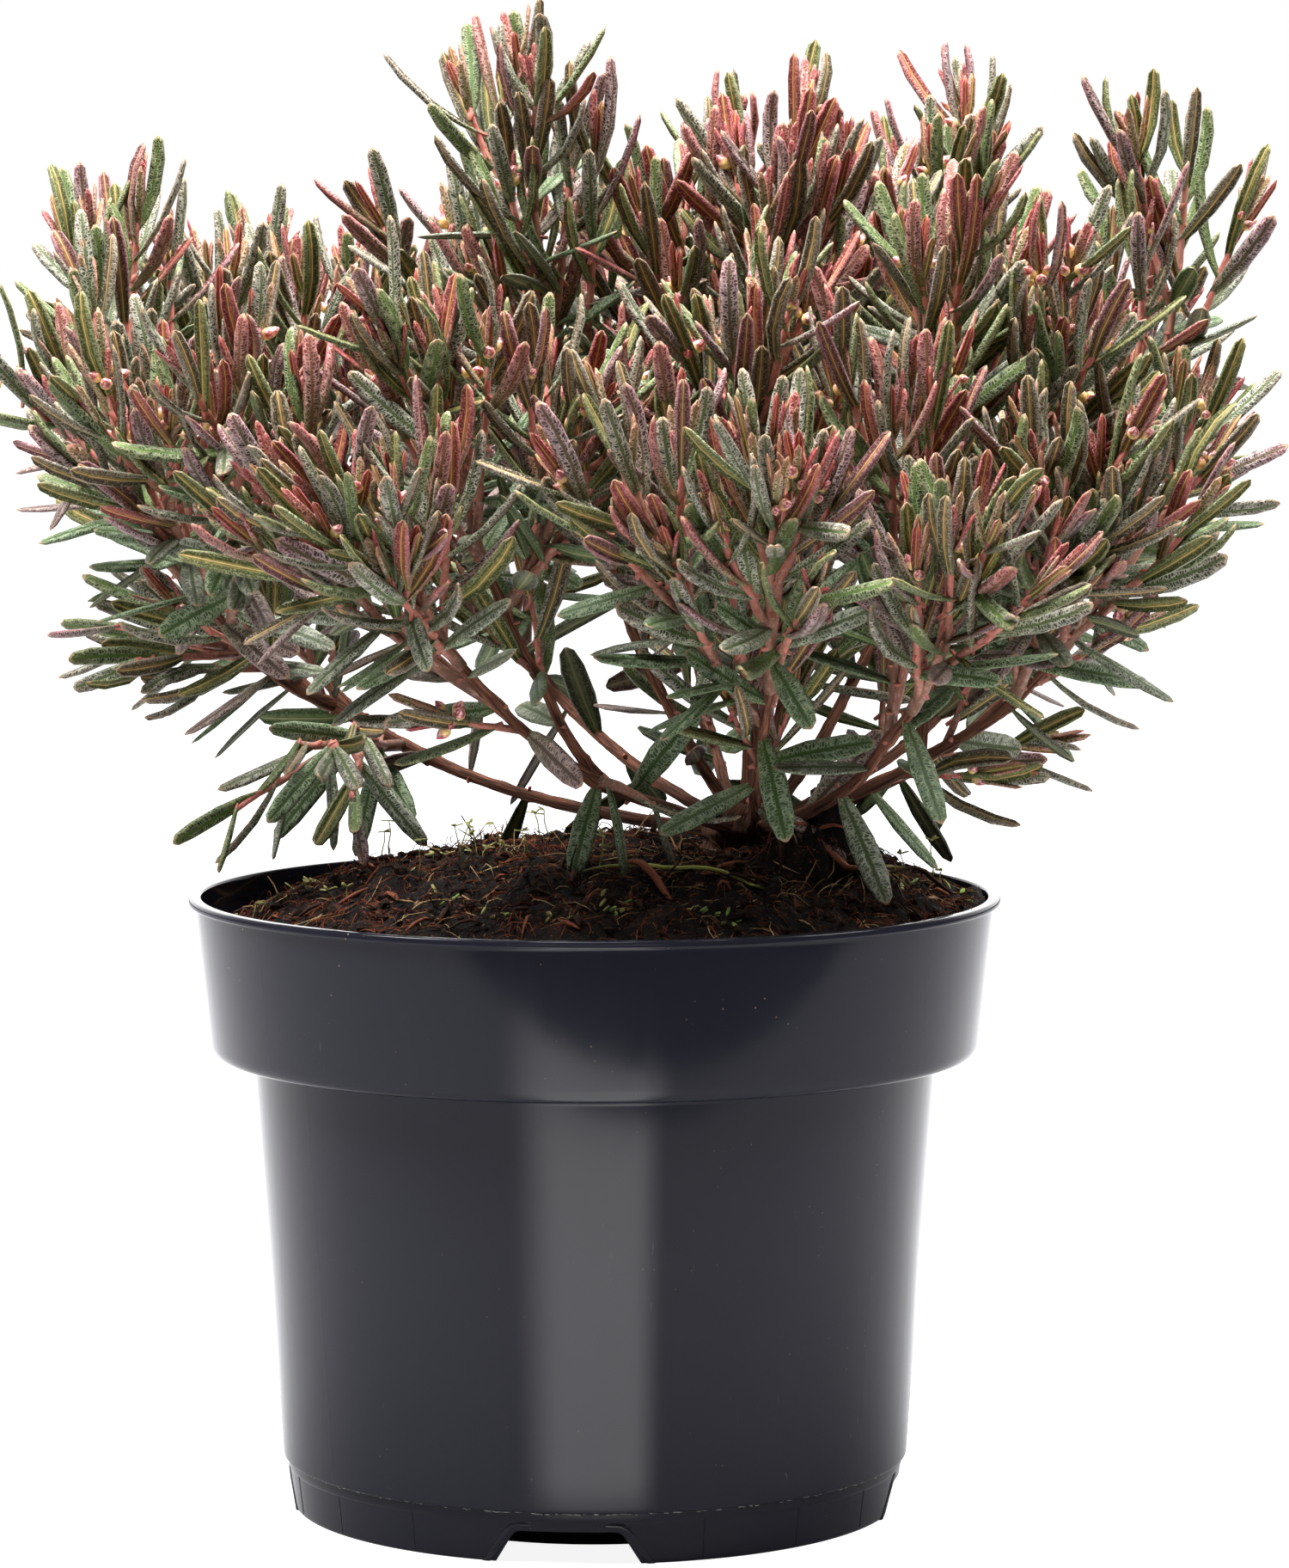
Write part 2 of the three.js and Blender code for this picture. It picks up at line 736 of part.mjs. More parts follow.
// One mass of foliage: a stem, twigs that leave it by the golden angle, and leaves up each of them.
class Foliage {
  constructor(course, seed, axes, placed) {
    this.name = course.shoot.name;
    this.leaves = course.shoot.leaves;
    this.droop = course.shoot.droop ?? 0;
    this.curve = course.curve;
    this.axes = axes;
    this.placed = placed;
    this.random = seededRandom(seed);
    this.turn = 360 * this.random();
    this.solid = bentLimb(this.curve, SHOOT.footRadius, SHOOT.tipRadius, SHOOT.sides, SHOOT.steps);
  }

  // Whether something fits in this mass's own space, clear of every other mass and limb.
  hasRoom(middle, tip, fattened) {
    if (!withinReach(tip) || !inOwnSpace(middle, this.name, this.axes)) return false;
    return !this.placed.touches(fattened, this.name);
  }

  growLeaf(axis, at, share) {
    this.turn += GOLDEN_ANGLE + LEAF.turnSpread * (this.random() - 0.5);
    const stemDirection = axis.getTangent(at);
    const openness = THREE.MathUtils.lerp(LEAF.tipAngle, LEAF.lowAngle, 1 - share ** 3);
    const angle = openness + LEAF.angleSpread * (this.random() - 0.5);
    const direction = leaningFrom(stemDirection, this.turn, angle);
    direction.z -= this.droop;
    const leaf = {
      root: axis.getPoint(at),
      direction: direction.normalize(),
      stemDirection,
      length: LEAF.length + LEAF.lengthSpread * this.random(),
    };
    const middle = leaf.root.clone().addScaledVector(leaf.direction, leaf.length * LEAF.middle);
    const tip = leaf.root.clone().addScaledVector(leaf.direction, leaf.length);
    const crosses = !this.solid.intersect(leafSolid(leaf, LEAF.freeFrom)).isEmpty();
    if (crosses || !this.hasRoom(middle, tip, leafSolid(leaf, 0, SEAT))) return false;
    this.solid = this.solid.add(leafSolid(leaf));
    return true;
  }

  // Leaves are sparse low on an axis and crowd towards its tip, which ends in one of them.
  growLeaves(axis, count, leafyFrom) {
    for (let i = count - 1; i >= 0; i -= 1) {
      const share = count > 1 ? i / (count - 1) : 1;
      const at = THREE.MathUtils.lerp(leafyFrom, LEAF.lastAt, share ** LEAF.crowding);
      for (let attempt = 0; attempt < TRIES; attempt += 1) {
        if (this.growLeaf(axis, at, share)) break;
      }
    }
  }

  growTwig(at, leafCount) {
    this.turn += GOLDEN_ANGLE;
    const foot = this.curve.getPoint(at);
    const angle = TWIG.angle + TWIG.angleSpread * this.random();
    const away = leaningFrom(this.curve.getTangent(at), this.turn, angle);
    const tip = foot.clone().addScaledVector(away, TWIG.length + TWIG.lengthSpread * this.random());
    tip.z += TWIG.rise * (1 - 2 * this.droop);
    const course = risingCurve(foot, tip, TWIG.flare, TWIG.lift);
    const { footRadius, tipRadius, steps } = TWIG;
    const fattened = bentLimb(course, footRadius + SEAT, tipRadius + SEAT, SHOOT.sides, steps);
    if (!this.hasRoom(tip, tip, fattened)) return false;
    this.solid = this.solid.add(bentLimb(course, footRadius, tipRadius, SHOOT.sides, steps));
    this.growLeaves(course, leafCount, TWIG.leafyFrom);
    return true;
  }

  grow() {
    const twigLeaves = Math.round((this.leaves * SHOOT.twigLeafShare) / SHOOT.twigCount);
    for (let i = 0; i < SHOOT.twigCount; i += 1) {
      const at = SHOOT.firstTwigAt + (SHOOT.twigStretch * i) / SHOOT.twigCount;
      for (let attempt = 0; attempt < TRIES; attempt += 1) {
        if (this.growTwig(at, twigLeaves)) break;
      }
    }
    this.growLeaves(this.curve, this.leaves - twigLeaves * SHOOT.twigCount, SHOOT.leafyFrom);
    return this;
  }
}

function buildPlant() {
  const plant = new THREE.Group();
  const placed = new Placed();
  const keep = (made, name, look) => {
    const solid = settled(made);
    placed.add(solid, name);
    plant.add(meshFrom(solid, name, look));
  };

  keep(makePot(), "pot", COLOURS.pot);
  keep(largestBody(makeSoil().subtract(crownSolid(SEAT))), "peat", COLOURS.soil);
  keep(crownSolid(0), "root_crown", COLOURS.bark);

  const courses = layOutPlant();
  const carriers = [crownSolid(SEAT)];
  for (const course of courses.values()) {
    let bough = boughSolid(course, 0);
    for (const carrier of carriers) bough = largestBody(bough.subtract(carrier));
    keep(bough, `bough_${course.bough.name}`, COLOURS.bark);
    carriers.push(boughSolid(course, SEAT));
  }

  const shoots = [...courses.values()].flatMap(shootCourses);
  const axes = shoots.map(({ shoot, curve }) => {
    return { name: shoot.name, stations: curve.getPoints(SHOOT.stations) };
  });
  shoots.forEach((made, index) => {
    const foliage = new Foliage(made, index + 1, axes, placed).grow();
    const mass = largestBody(foliage.solid.subtract(boughSolid(made.course, SEAT)));
    keep(mass, `foliage_${made.shoot.name}`, COLOURS.foliage);
  });
  return plant;
}

export default buildPlant();
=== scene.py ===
import json
import math
from dataclasses import dataclass
from functools import lru_cache

import bmesh
import bpy
import numpy as np
from mathutils import Matrix, Vector, noise

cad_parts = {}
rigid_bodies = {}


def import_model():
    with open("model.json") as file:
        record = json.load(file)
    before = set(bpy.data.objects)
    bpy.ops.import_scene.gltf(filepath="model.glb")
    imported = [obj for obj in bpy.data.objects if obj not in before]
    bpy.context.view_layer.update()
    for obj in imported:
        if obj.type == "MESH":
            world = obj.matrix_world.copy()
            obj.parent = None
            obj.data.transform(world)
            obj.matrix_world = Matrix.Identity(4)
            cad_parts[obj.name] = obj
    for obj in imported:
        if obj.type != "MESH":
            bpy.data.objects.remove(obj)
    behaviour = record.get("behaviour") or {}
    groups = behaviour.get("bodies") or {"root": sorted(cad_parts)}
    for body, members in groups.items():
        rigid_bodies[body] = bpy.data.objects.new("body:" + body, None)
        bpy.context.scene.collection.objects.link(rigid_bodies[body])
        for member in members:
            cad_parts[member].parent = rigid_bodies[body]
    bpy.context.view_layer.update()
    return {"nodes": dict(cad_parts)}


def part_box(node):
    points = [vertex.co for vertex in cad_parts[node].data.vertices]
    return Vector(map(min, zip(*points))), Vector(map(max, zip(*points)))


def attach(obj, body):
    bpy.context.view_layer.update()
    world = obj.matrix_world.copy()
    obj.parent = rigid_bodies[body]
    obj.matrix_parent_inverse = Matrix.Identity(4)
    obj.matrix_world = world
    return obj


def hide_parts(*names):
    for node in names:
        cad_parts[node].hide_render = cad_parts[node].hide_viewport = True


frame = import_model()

bl_info = {
    "name": "Potted Bog Rosemary",
    "version": (1, 0, 0),
    "blender": (4, 5, 0),
    "location": "View3D > Sidebar > Bog Rosemary",
    "description": "Grows a bog rosemary with rolled leaves and buds in a black nursery pot of peat",
    "category": "Object",
}

# Lengths are millimetres, and each mesh is turned to metres when it is made. X runs to the right of the
# pot's front, Y to its back and Z up, from the centre of the pot's underside.
MM = 0.001
BODY = "root"

# The pot's section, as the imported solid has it, with the roundings that its edges show.
POT_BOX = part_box("pot")
POT = {
    "height": POT_BOX[1].z / MM,
    "lip_radius": POT_BOX[1].x / MM,
    "lip_depth": 1.8,
    "collar_top_radius": 93.3,
    "collar_bottom_radius": 89.9,
    "collar_height": 37,
    "body_top_radius": 80.2,
    "body_bottom_radius": 73.5,
    "foot_top_radius": 72.4,
    "foot_radius": 71,
    "foot_height": 11.5,
    "channel_height": 7.6,
    "channel_inner_radius": 51,
    "channel_slope": 1.5,
    "foot_ring_width": 1.6,
    "wall": 1.2,
}
NOTCH = {
    "count": 4,
    "first_heading": -94.5,
    "top_width": 24,
    "bottom_width": 33,
    "height": 7.6,
    "rounding": 1.6,
    "cut_from": 64,
    "cut_depth": 14,
    "border_gap": 1.1,
    "border_half_width": 1.15,
    "border_rise": 0.42,
}
DRAIN = {"count": 8, "radius": 4, "ring_radius": 60, "depth": 5}
MOULD_LINES = {"count": 20, "spacing": 18, "from_notch": 16, "half_width": 0.14, "rise": 0.10}
SEAM_FLECKS = {"count": 260, "length": (0.3, 1.7), "size": (0.05, 0.16)}

# The peat's top: its height at the left wall and at the right one, its mound and the lump on it. Its mesh
# has rings and steps, stands a gap off the wall and is closed by a floor.
SOIL = {
    "left_height": 134,
    "right_height": 142,
    "mound_height": 13,
    "mound_radius": 88,
    "lump_x": 57,
    "lump_y": 14,
    "lump_radius": 12,
    "lump_height": 7,
    "rings": 70,
    "steps": 260,
    "wall_gap": 1.9,
    "floor": 112,
}

# The peat's own relief, from its clods to its grains: how wide each kind is, where its pattern starts and
# how high it stands.
CLODS = [(16, (0, 0, 0), 2.1), (5.5, (7, 3, 1), 2.2), (2.1, (1, 9, 4), 1.3)]

# The knobs of old root and moss on the peat: where each one lies, how wide it is and how high.
KNOBS = [(48, -26, 9, 9), (57, -20, 7, 12), (64, -33, 6, 5), (-46, -30, 6, 4), (-12, -52, 6, 3.5)]

# Where the rosettes of liverwort and the seedlings grow.
MOSS_PATCHES = [(-34, -52), (-22, -70), (-8, -74), (4, -72), (58, -20), (72, -26), (22, -66), (62, -4),
                (-70, 20), (30, -74), (86, -6), (46, 40), (-20, 62), (64, 34)]
SEEDLINGS = [(-37, -8), (-31, -14), (-26, -4), (-20, -12), (-42, -22), (-16, -24), (-60, -30), (-12, 8),
             (-34, 6), (4, -34), (70, -10), (80, 8), (-80, -22), (20, 58), (-50, 44)]

# The single sticks and straws that the photo shows before the stems: where each starts, its heading, its
# length, radius and rise, how it curls, its finish, how flat it is and its rings.
STICKS = [
    ((-3, -42), -4, 42, 0.55, 2.2, 0.2, 2, 1.0, 14),
    ((4, -36), -62, 30, 1.1, 2.6, -0.3, 0, 0.7, 10),
    ((66, -22), 28, 20, 0.8, 6.0, 0.4, 1, 0.8, 8),
    ((52, -30), -25, 17, 1.9, 1.2, 0.2, 0, 0.6, 6),
]
LOOSE_CHIPS = 120
LOOSE_TWIGS = 110

# The woody crown, the stems that rise from it and the shoots that these end in.
CROWN = {"x": 36, "y": 4, "foot": 148, "stem_foot": 158, "sides": 40, "rings": 36, "depth": 0.85, "lean": 3}
CROWN_HEIGHTS = [-4, 0, 3, 7, 9, 11, 13, 15, 16.4, 17]
CROWN_RADII = [13.5, 12.5, 10.5, 8.5, 8.8, 9.5, 9.0, 7.6, 5.2, 2.4]
STEM = {
    "foot_radius": 1.6,
    "fork_radius": 1.35,
    "tip_radius": 1.15,
    "side_fork": 0.84,
    "wander": 0.55,
    "sides": 14,
    "ring_gap": 1.25,
}
BARK = {"flare": 0.8, "flare_length": 5.0, "fork_swell": 0.4, "fork_length": 3.2, "fissure": 0.20,
        "crack": 0.10, "scar": 0.4, "scar_length": 0.9, "scar_turn": 0.62, "scar_gap": (4.5, 8.5)}
SHOOT = {"flare": 0.7, "lift": 0.4, "wander": 0.5, "foot_radius": 1.5, "tip_radius": 0.75, "stations": 6}
TWIG = {
    "angle": 42,
    "angle_spread": 8,
    "flare": 0.5,
    "lift": 0.35,
    "wander": 0.3,
    "foot_radius": 1.15,
    "tip_radius": 0.65,
}
SPUR = {"share": 0.3, "angle": 44, "foot_radius": 0.7, "tip_radius": 0.45}
SPROUT = {
    "share": 0.6,
    "places": (0.45, 0.6, 0.75, 0.9),
    "angle": 50,
    "foot_radius": 0.95,
    "tip_radius": 0.5,
    "leaf_gap": (9, 17),
    "leaf_angle": (48, 80),
    "leafy_share": 0.72,
}
REACH = {"left": -139, "right": 162, "front": -138, "back": 142, "top": 351.5}
GOLDEN_ANGLE = 137.5
TRIES = 14
LEAF_TRIES = 3

# How far down a shoot its finger leaves reach, the gaps between leaves there and how these grow downwards.
FINGERS_TO = 29
YOUNG_GAP = (0.8, 0)
FINGER_GAP = (2.75, 0.06)
BROAD_GAP = (5.0, 0.02)

# The room that a stem, a tuft, a spur's tip, a leaf and a young leaf keep from others, as a radius.
STEM_ROOM = 2.2
TUFT_ROOM = 7.5
SPUR_ROOM = 4.0
LEAF_ROOM = 1.45
YOUNG_ROOM = 0.9

# The room that a leaf and a young leaf take up, as a radius.
LEAF_BODY = 1.1
YOUNG_BODY = 0.6

# A tip stays this far under the top of the reach.
TIP_MARGIN = 8


@dataclass
class Shoot:
    """A shoot: where its tip lies from the crown, and how its leaves hang and blush."""

    name: str
    heading: float
    reach: float
    height: float
    at: float = None
    droop: float = 0.0
    blush: float = 0.6
    twigs: int = 7
    open: float = 1.0
    spread: float = 27


@dataclass
class Bough:
    """A stem that rises from the crown or forks from another, and the shoots that it bears."""

    name: str
    flare: float
    lift: float
    bare: float
    shoots: list
    parent: str = None
    at: float = None
    foot_radius: float = None


BOUGHS = [
    Bough("left_long", 0.93, 0.04, 0.6, [
        Shoot("left_tall", 162, 166, 297, blush=0.3, twigs=6, open=1.1),
        Shoot("left_outer", 181, 160, 266, blush=0.2),
        Shoot("left_low", 170, 132, 207, at=0.46, droop=0.5, blush=0.1, twigs=5),
        Shoot("left_hanging", -172, 106, 180, at=0.33, droop=0.9, blush=0, twigs=4),
    ]),
    Bough("left_back", 0.85, 0.12, 0.6, [
        Shoot("left_back_tall", 146, 160, 287, blush=0.3, twigs=7, spread=28),
        Shoot("left_back_inner", 146, 108, 284, blush=0.6, twigs=7, spread=28),
    ], parent="left_long", at=0.3),
    Bough("left_front", 0.8, 0.2, 0.5, [
        Shoot("left_front_red", -164, 142, 256, blush=0.6),
        Shoot("left_front_inner", -153, 128, 264, blush=0.7, twigs=8),
    ], parent="left_long", at=0.42),
    Bough("front_left_low", 0.85, 0.3, 0.66, [
        Shoot("front_left_edge", -129, 126, 236, blush=0.5),
        Shoot("front_left_side", -141, 136, 245, blush=0.6),
        Shoot("front_hanging", -116, 50, 168, at=0.3, droop=1.2, blush=0, twigs=0),
    ]),
    Bough("front_left_high", 0.7, 0.35, 0.6, [
        Shoot("front_left_top", -137, 96, 268, blush=0.85),
        Shoot("front_left_centre", -122, 72, 258, blush=0.75, twigs=8),
    ], parent="front_left_low", at=0.28),
    Bough("left_tallest", 0.8, 0.3, 0.5, [
        Shoot("tallest", -172, 54, 337, blush=0.35, twigs=7, open=1.1),
        Shoot("tallest_low", 160, 74, 299, blush=0.7, twigs=7),
    ]),
    Bough("centre", 0.4, 0.5, 0.52, [
        Shoot("centre_top", -60, 14, 311, blush=0.95, twigs=9),
        Shoot("centre_top_left", 165, 26, 304, blush=0.95, twigs=9),
    ], foot_radius=2.4),
    Bough("centre_back", 0.6, 0.4, 0.55, [
        Shoot("centre_top_right", 40, 38, 303, blush=0.95, twigs=9),
        Shoot("centre_back_top", 112, 52, 299, blush=0.9, twigs=9, spread=32),
    ]),
    Bough("back_right_tall", 0.85, 0.2, 0.55, [
        Shoot("back_right_top", 53, 90, 325, blush=0.4, twigs=6, open=1.1),
        Shoot("back_right_side", 76, 92, 286, blush=0.6, twigs=10, spread=34),
    ]),
    Bough("right_tall", 0.95, 0.12, 0.55, [
        Shoot("right_top", 8, 104, 315, blush=0.35, twigs=5, open=1.15, spread=22),
        Shoot("right_outer", -8, 108, 258, blush=0.15, twigs=3, open=1.35, spread=18),
    ]),
    Bough("right_middle", 0.75, 0.35, 0.55, [
        Shoot("right_middle_top", -40, 60, 290, blush=0.85, twigs=8),
        Shoot("right_middle_side", -30, 84, 276, blush=0.7),
    ], parent="right_front", at=0.3),
    Bough("right_front", 0.85, 0.32, 0.6, [
        Shoot("right_front_edge", -33, 104, 240, blush=0.35, twigs=5, spread=22),
        Shoot("right_front_side", -47, 102, 247, blush=0.45),
        Shoot("right_hanging", -2, 44, 176, at=0.22, droop=1.2, blush=0, twigs=0, open=3.0),
    ]),
    Bough("front_right", 0.85, 0.25, 0.6, [
        Shoot("front_right_edge", -66, 112, 230, blush=0.35),
        Shoot("front_right_top", -63, 76, 264, blush=0.7, twigs=8),
    ]),
    Bough("front_centre", 0.8, 0.25, 0.6, [
        Shoot("front_centre_edge", -88, 106, 241, blush=0.45),
        Shoot("front_centre_low", -106, 100, 248, blush=0.55),
    ]),
    Bough("front_middle", 0.6, 0.4, 0.55, [
        Shoot("front_middle_top", -90, 60, 274, blush=0.85, twigs=8),
    ], parent="front_centre", at=0.3),
    Bough("back_left", 0.85, 0.2, 0.6, [
        Shoot("back_left_edge", 124, 142, 262, blush=0.45, twigs=10, spread=36),
        Shoot("back_left_top", 124, 92, 281, blush=0.7, twigs=10, spread=34),
    ]),
    Bough("back_centre", 0.85, 0.2, 0.6, [
        Shoot("back_centre_edge", 98, 128, 256, blush=0.45, twigs=10, spread=36),
        Shoot("back_centre_low", 80, 124, 246, blush=0.4, twigs=10, spread=36),
    ]),
    Bough("back_right", 0.9, 0.2, 0.6, [
        Shoot("back_right_edge", 44, 118, 262, blush=0.4, twigs=10, spread=30),
        Shoot("back_right_low", 25, 104, 246, blush=0.35, twigs=6, spread=24),
    ]),
]


def tone(red, green, blue):
    """A colour as the eye reads it on a screen, 0 to 255, as the linear colour that a shader takes."""
    def linear(part):
        part /= 255
        return part / 12.92 if part <= 0.04045 else ((part + 0.055) / 1.055) ** 2.4

    return (linear(red), linear(green), linear(blue), 1.0)


# Settings that a user would change, shown in the sidebar.
class PotSettings(bpy.types.PropertyGroup):
    segments: bpy.props.IntProperty(
        name="Segments", description="Faces round the pot", default=192, min=32, max=400
    )
    plastic: bpy.props.FloatVectorProperty(
        name="Plastic", description="Colour of the pot", subtype="COLOR", size=4, default=tone(26, 26, 34)
    )


class PeatSettings(bpy.types.PropertyGroup):
    fibres: bpy.props.IntProperty(
        name="Fibres", description="Loose fibres on the peat", default=6000, min=0, max=8000
    )
    crumbs: bpy.props.IntProperty(
        name="Crumbs", description="Loose crumbs on the peat", default=1500, min=0, max=4000
    )
    peat: bpy.props.FloatVectorProperty(
        name="Peat", description="Colour of the peat", subtype="COLOR", size=4, default=tone(24, 16, 13)
    )


class PlantSettings(bpy.types.PropertyGroup):
    leaf_scale: bpy.props.FloatProperty(
        name="Leaf scale", description="Length of the leaves beside life", default=1.0, min=0.5, max=1.5
    )
    bud_share: bpy.props.FloatProperty(
        name="Buds", description="Share of the shoots that end in buds", subtype="FACTOR", default=0.5,
        min=0, max=1,
    )
    seed: bpy.props.IntProperty(name="Seed", description="Start of the plant's random numbers", default=1)


class StageSettings(bpy.types.PropertyGroup):
    floor: bpy.props.FloatVectorProperty(
        name="Floor", description="Colour of the floor", subtype="COLOR", size=4,
        default=(0.36, 0.36, 0.37, 1),
    )
    key: bpy.props.FloatProperty(
        name="Key light", description="Strength of the key light", unit="POWER", default=63, min=0
    )


# Shader maths as Python expressions.
class Value:
    """A shader socket that counts like a number: each operation adds its Math node."""

    def __init__(self, finish, socket):
        self.finish = finish
        self.socket = socket

    def __add__(self, other):
        return self.finish.math("ADD", self, other)

    def __radd__(self, other):
        return self.finish.math("ADD", other, self)

    def __sub__(self, other):
        return self.finish.math("SUBTRACT", self, other)

    def __rsub__(self, other):
        return self.finish.math("SUBTRACT", other, self)

    def __mul__(self, other):
        return self.finish.math("MULTIPLY", self, other)

    def __truediv__(self, other):
        return self.finish.math("DIVIDE", self, other)

    def __abs__(self):
        return self.finish.math("ABSOLUTE", self)


class Finish:
    """A material that is being built round one Principled shader."""

    def __init__(self, name, **uniform):
        self.material = bpy.data.materials.new(name)
        self.material.use_nodes = True
        self.tree = self.material.node_tree
        self.shader = self.tree.nodes["Principled BSDF"]
        for socket, value in uniform.items():
            self.shader.inputs[socket.replace("_", " ").title().replace("Ior", "IOR")].default_value = value

    def add(self, kind, settings=None, sockets=None, output=0):
        node = self.tree.nodes.new(kind)
        for name, value in (settings or {}).items():
            setattr(node, name, value)
        for name, value in (sockets or {}).items():
            if isinstance(value, Value):
                self.tree.links.new(value.socket, node.inputs[name])
            else:
                node.inputs[name].default_value = value
        return Value(self, node.outputs[output])

    def math(self, operation, *values):
        return self.add("ShaderNodeMath", {"operation": operation}, dict(enumerate(values)))

    def step(self, value, low, high):
        """0 below low, 1 above high and smooth between them."""
        sockets = {"Value": value, "From Min": low, "From Max": high}
        return self.add("ShaderNodeMapRange", {"interpolation_type": "SMOOTHSTEP"}, sockets)

    def mix(self, first, second, factor):
        """Two colours mixed: sockets 0, 6 and 7 of a colour Mix node are its factor and its colours."""
        return self.add("ShaderNodeMix", {"data_type": "RGBA"}, {0: factor, 6: first, 7: second}, output=2)

    def noise(self, vector, scale, detail=3.0, roughness=0.5, distortion=0.0):
        sockets = {
            "Vector": vector,
            "Scale": scale,
            "Detail": detail,
            "Roughness": roughness,
            "Distortion": distortion,
        }
        return self.add("ShaderNodeTexNoise", {}, sockets)

    def cells(self, vector, scale, feature="F1"):
        sockets = {"Vector": vector, "Scale": scale}
        return self.add("ShaderNodeTexVoronoi", {"feature": feature}, sockets, "Distance")

    def place(self):
        return self.add("ShaderNodeTexCoord", output="Object")

    def stretched(self, vector, x, y, z):
        return self.add("ShaderNodeMapping", {}, {"Vector": vector, "Scale": (x, y, z)})

    def parts(self, vector):
        """The three numbers of a vector."""
        split = self.add("ShaderNodeSeparateXYZ", {}, {0: vector}).socket.node
        return [Value(self, output) for output in split.outputs]

    def joined(self, x, y, z=0.0):
        return self.add("ShaderNodeCombineXYZ", {}, {0: x, 1: y, 2: z})

    def map_place(self):
        """The piece's own map: u runs round a leaf or a stem, and v along it."""
        u, v, _ = self.parts(self.add("ShaderNodeUVMap", {"uv_map": PIECE_MAP}))
        return u, v

    def colour(self, value):
        self.drive("Base Color", value)

    def rough(self, value):
        self.drive("Roughness", value)

    def bump(self, height, strength, distance):
        """Relief from a height: its distance is in metres."""
        sockets = {"Height": height, "Strength": strength, "Distance": distance}
        self.drive("Normal", self.add("ShaderNodeBump", {}, sockets))

    def drive(self, socket, value):
        if isinstance(value, Value):
            self.tree.links.new(value.socket, self.shader.inputs[socket])
        else:
            self.shader.inputs[socket].default_value = value


PIECE_MAP = "OFBake"


# Finishes of the pot.
def pot_plastic(colour):
    """Satin black plastic: faint draw marks down the wall, fine scuffs and specks of dust."""
    finish = Finish("pot_plastic", specular_ior_level=0.12)
    place = finish.place()
    _, _, height = finish.parts(place)
    marks = finish.noise(finish.stretched(place, 260, 260, 14), 1.0, 4.0, 0.6)
    clouds = finish.noise(place, 22.0, 3.0)
    scuffs = finish.noise(finish.stretched(place, 900, 900, 90), 1.0, 2.0, 0.7, 1.4)
    scratch = finish.step(scuffs, 0.70, 0.78) * finish.step(clouds, 0.5, 0.62)
    specks = 1 - finish.step(finish.cells(place, 420.0), 0.05, 0.11)
    near_rim = finish.step(height, 0.112, 0.140)
    dust = specks * finish.step(finish.noise(place, 60.0, 2.0), 0.56, 0.66) * (0.25 + near_rim * 0.75)
    lightened = finish.mix(colour, tone(78, 80, 86), scratch * 0.35)
    finish.colour(finish.mix(lightened, tone(150, 128, 104), dust * 0.75))
    finish.rough(0.05 + marks * 0.05 + clouds * 0.03 + scratch * 0.25 + dust * 0.3)
    finish.bump(marks * 0.5 + clouds * 0.4, 0.12, 0.0002)
    return finish.material


def seam_flecks_finish():
    """Pale flakes of plastic along the seam over the foot."""
    finish = Finish("seam_flecks", roughness=0.6)
    shade = finish.noise(finish.place(), 900.0, 2.0)
    finish.colour(finish.mix(tone(120, 116, 112), tone(196, 190, 182), shade))
    return finish.material


# Finishes of the peat.
def peat_finish(colour):
    finish = Finish("peat", specular_ior_level=0.12)
    place = finish.place()
    clods = finish.noise(place, 90.0, 5.0, 0.7)
    grains = finish.noise(place, 700.0, 4.0, 0.7)
    reddish = finish.mix(colour, tone(96, 58, 42), finish.step(clods, 0.50, 0.70))
    # Near black where the grains' relief is low: painted shade in its hollows.
    shaded_hollows = finish.mix(tone(8, 6, 5), reddish, finish.step(grains, 0.42, 0.60))
    finish.colour(finish.mix(shaded_hollows, tone(168, 124, 92), finish.step(grains, 0.61, 0.74) * 0.7))
    finish.rough(0.6 + finish.step(grains, 0.35, 0.55) * 0.35)
    finish.bump(clods * 0.4 + grains, 0.9, 0.0012)
    return finish.material


def streaky_finish(name, dark, light, roughness=0.8, along=1.0):
    """Fibres, straws and chips: streaks along each one's own length."""
    finish = Finish(name, roughness=roughness, specular_ior_level=0.08)
    u, v = finish.map_place()
    streaks = finish.noise(finish.joined(u * 6, v * along), 4.0, 4.0, 0.7)
    finish.colour(finish.mix(dark, light, finish.step(streaks, 0.35, 0.65)))
    finish.bump(streaks, 0.5, 0.0002)
    return finish.material


def moss_finish(name, dark, light):
    finish = Finish(name, roughness=0.65, subsurface_weight=0.05)
    place = finish.place()
    shade = finish.noise(place, 500.0, 3.0)
    finish.colour(finish.mix(dark, light, finish.step(shade, 0.35, 0.68)))
    finish.bump(shade, 0.6, 0.0004)
    return finish.material


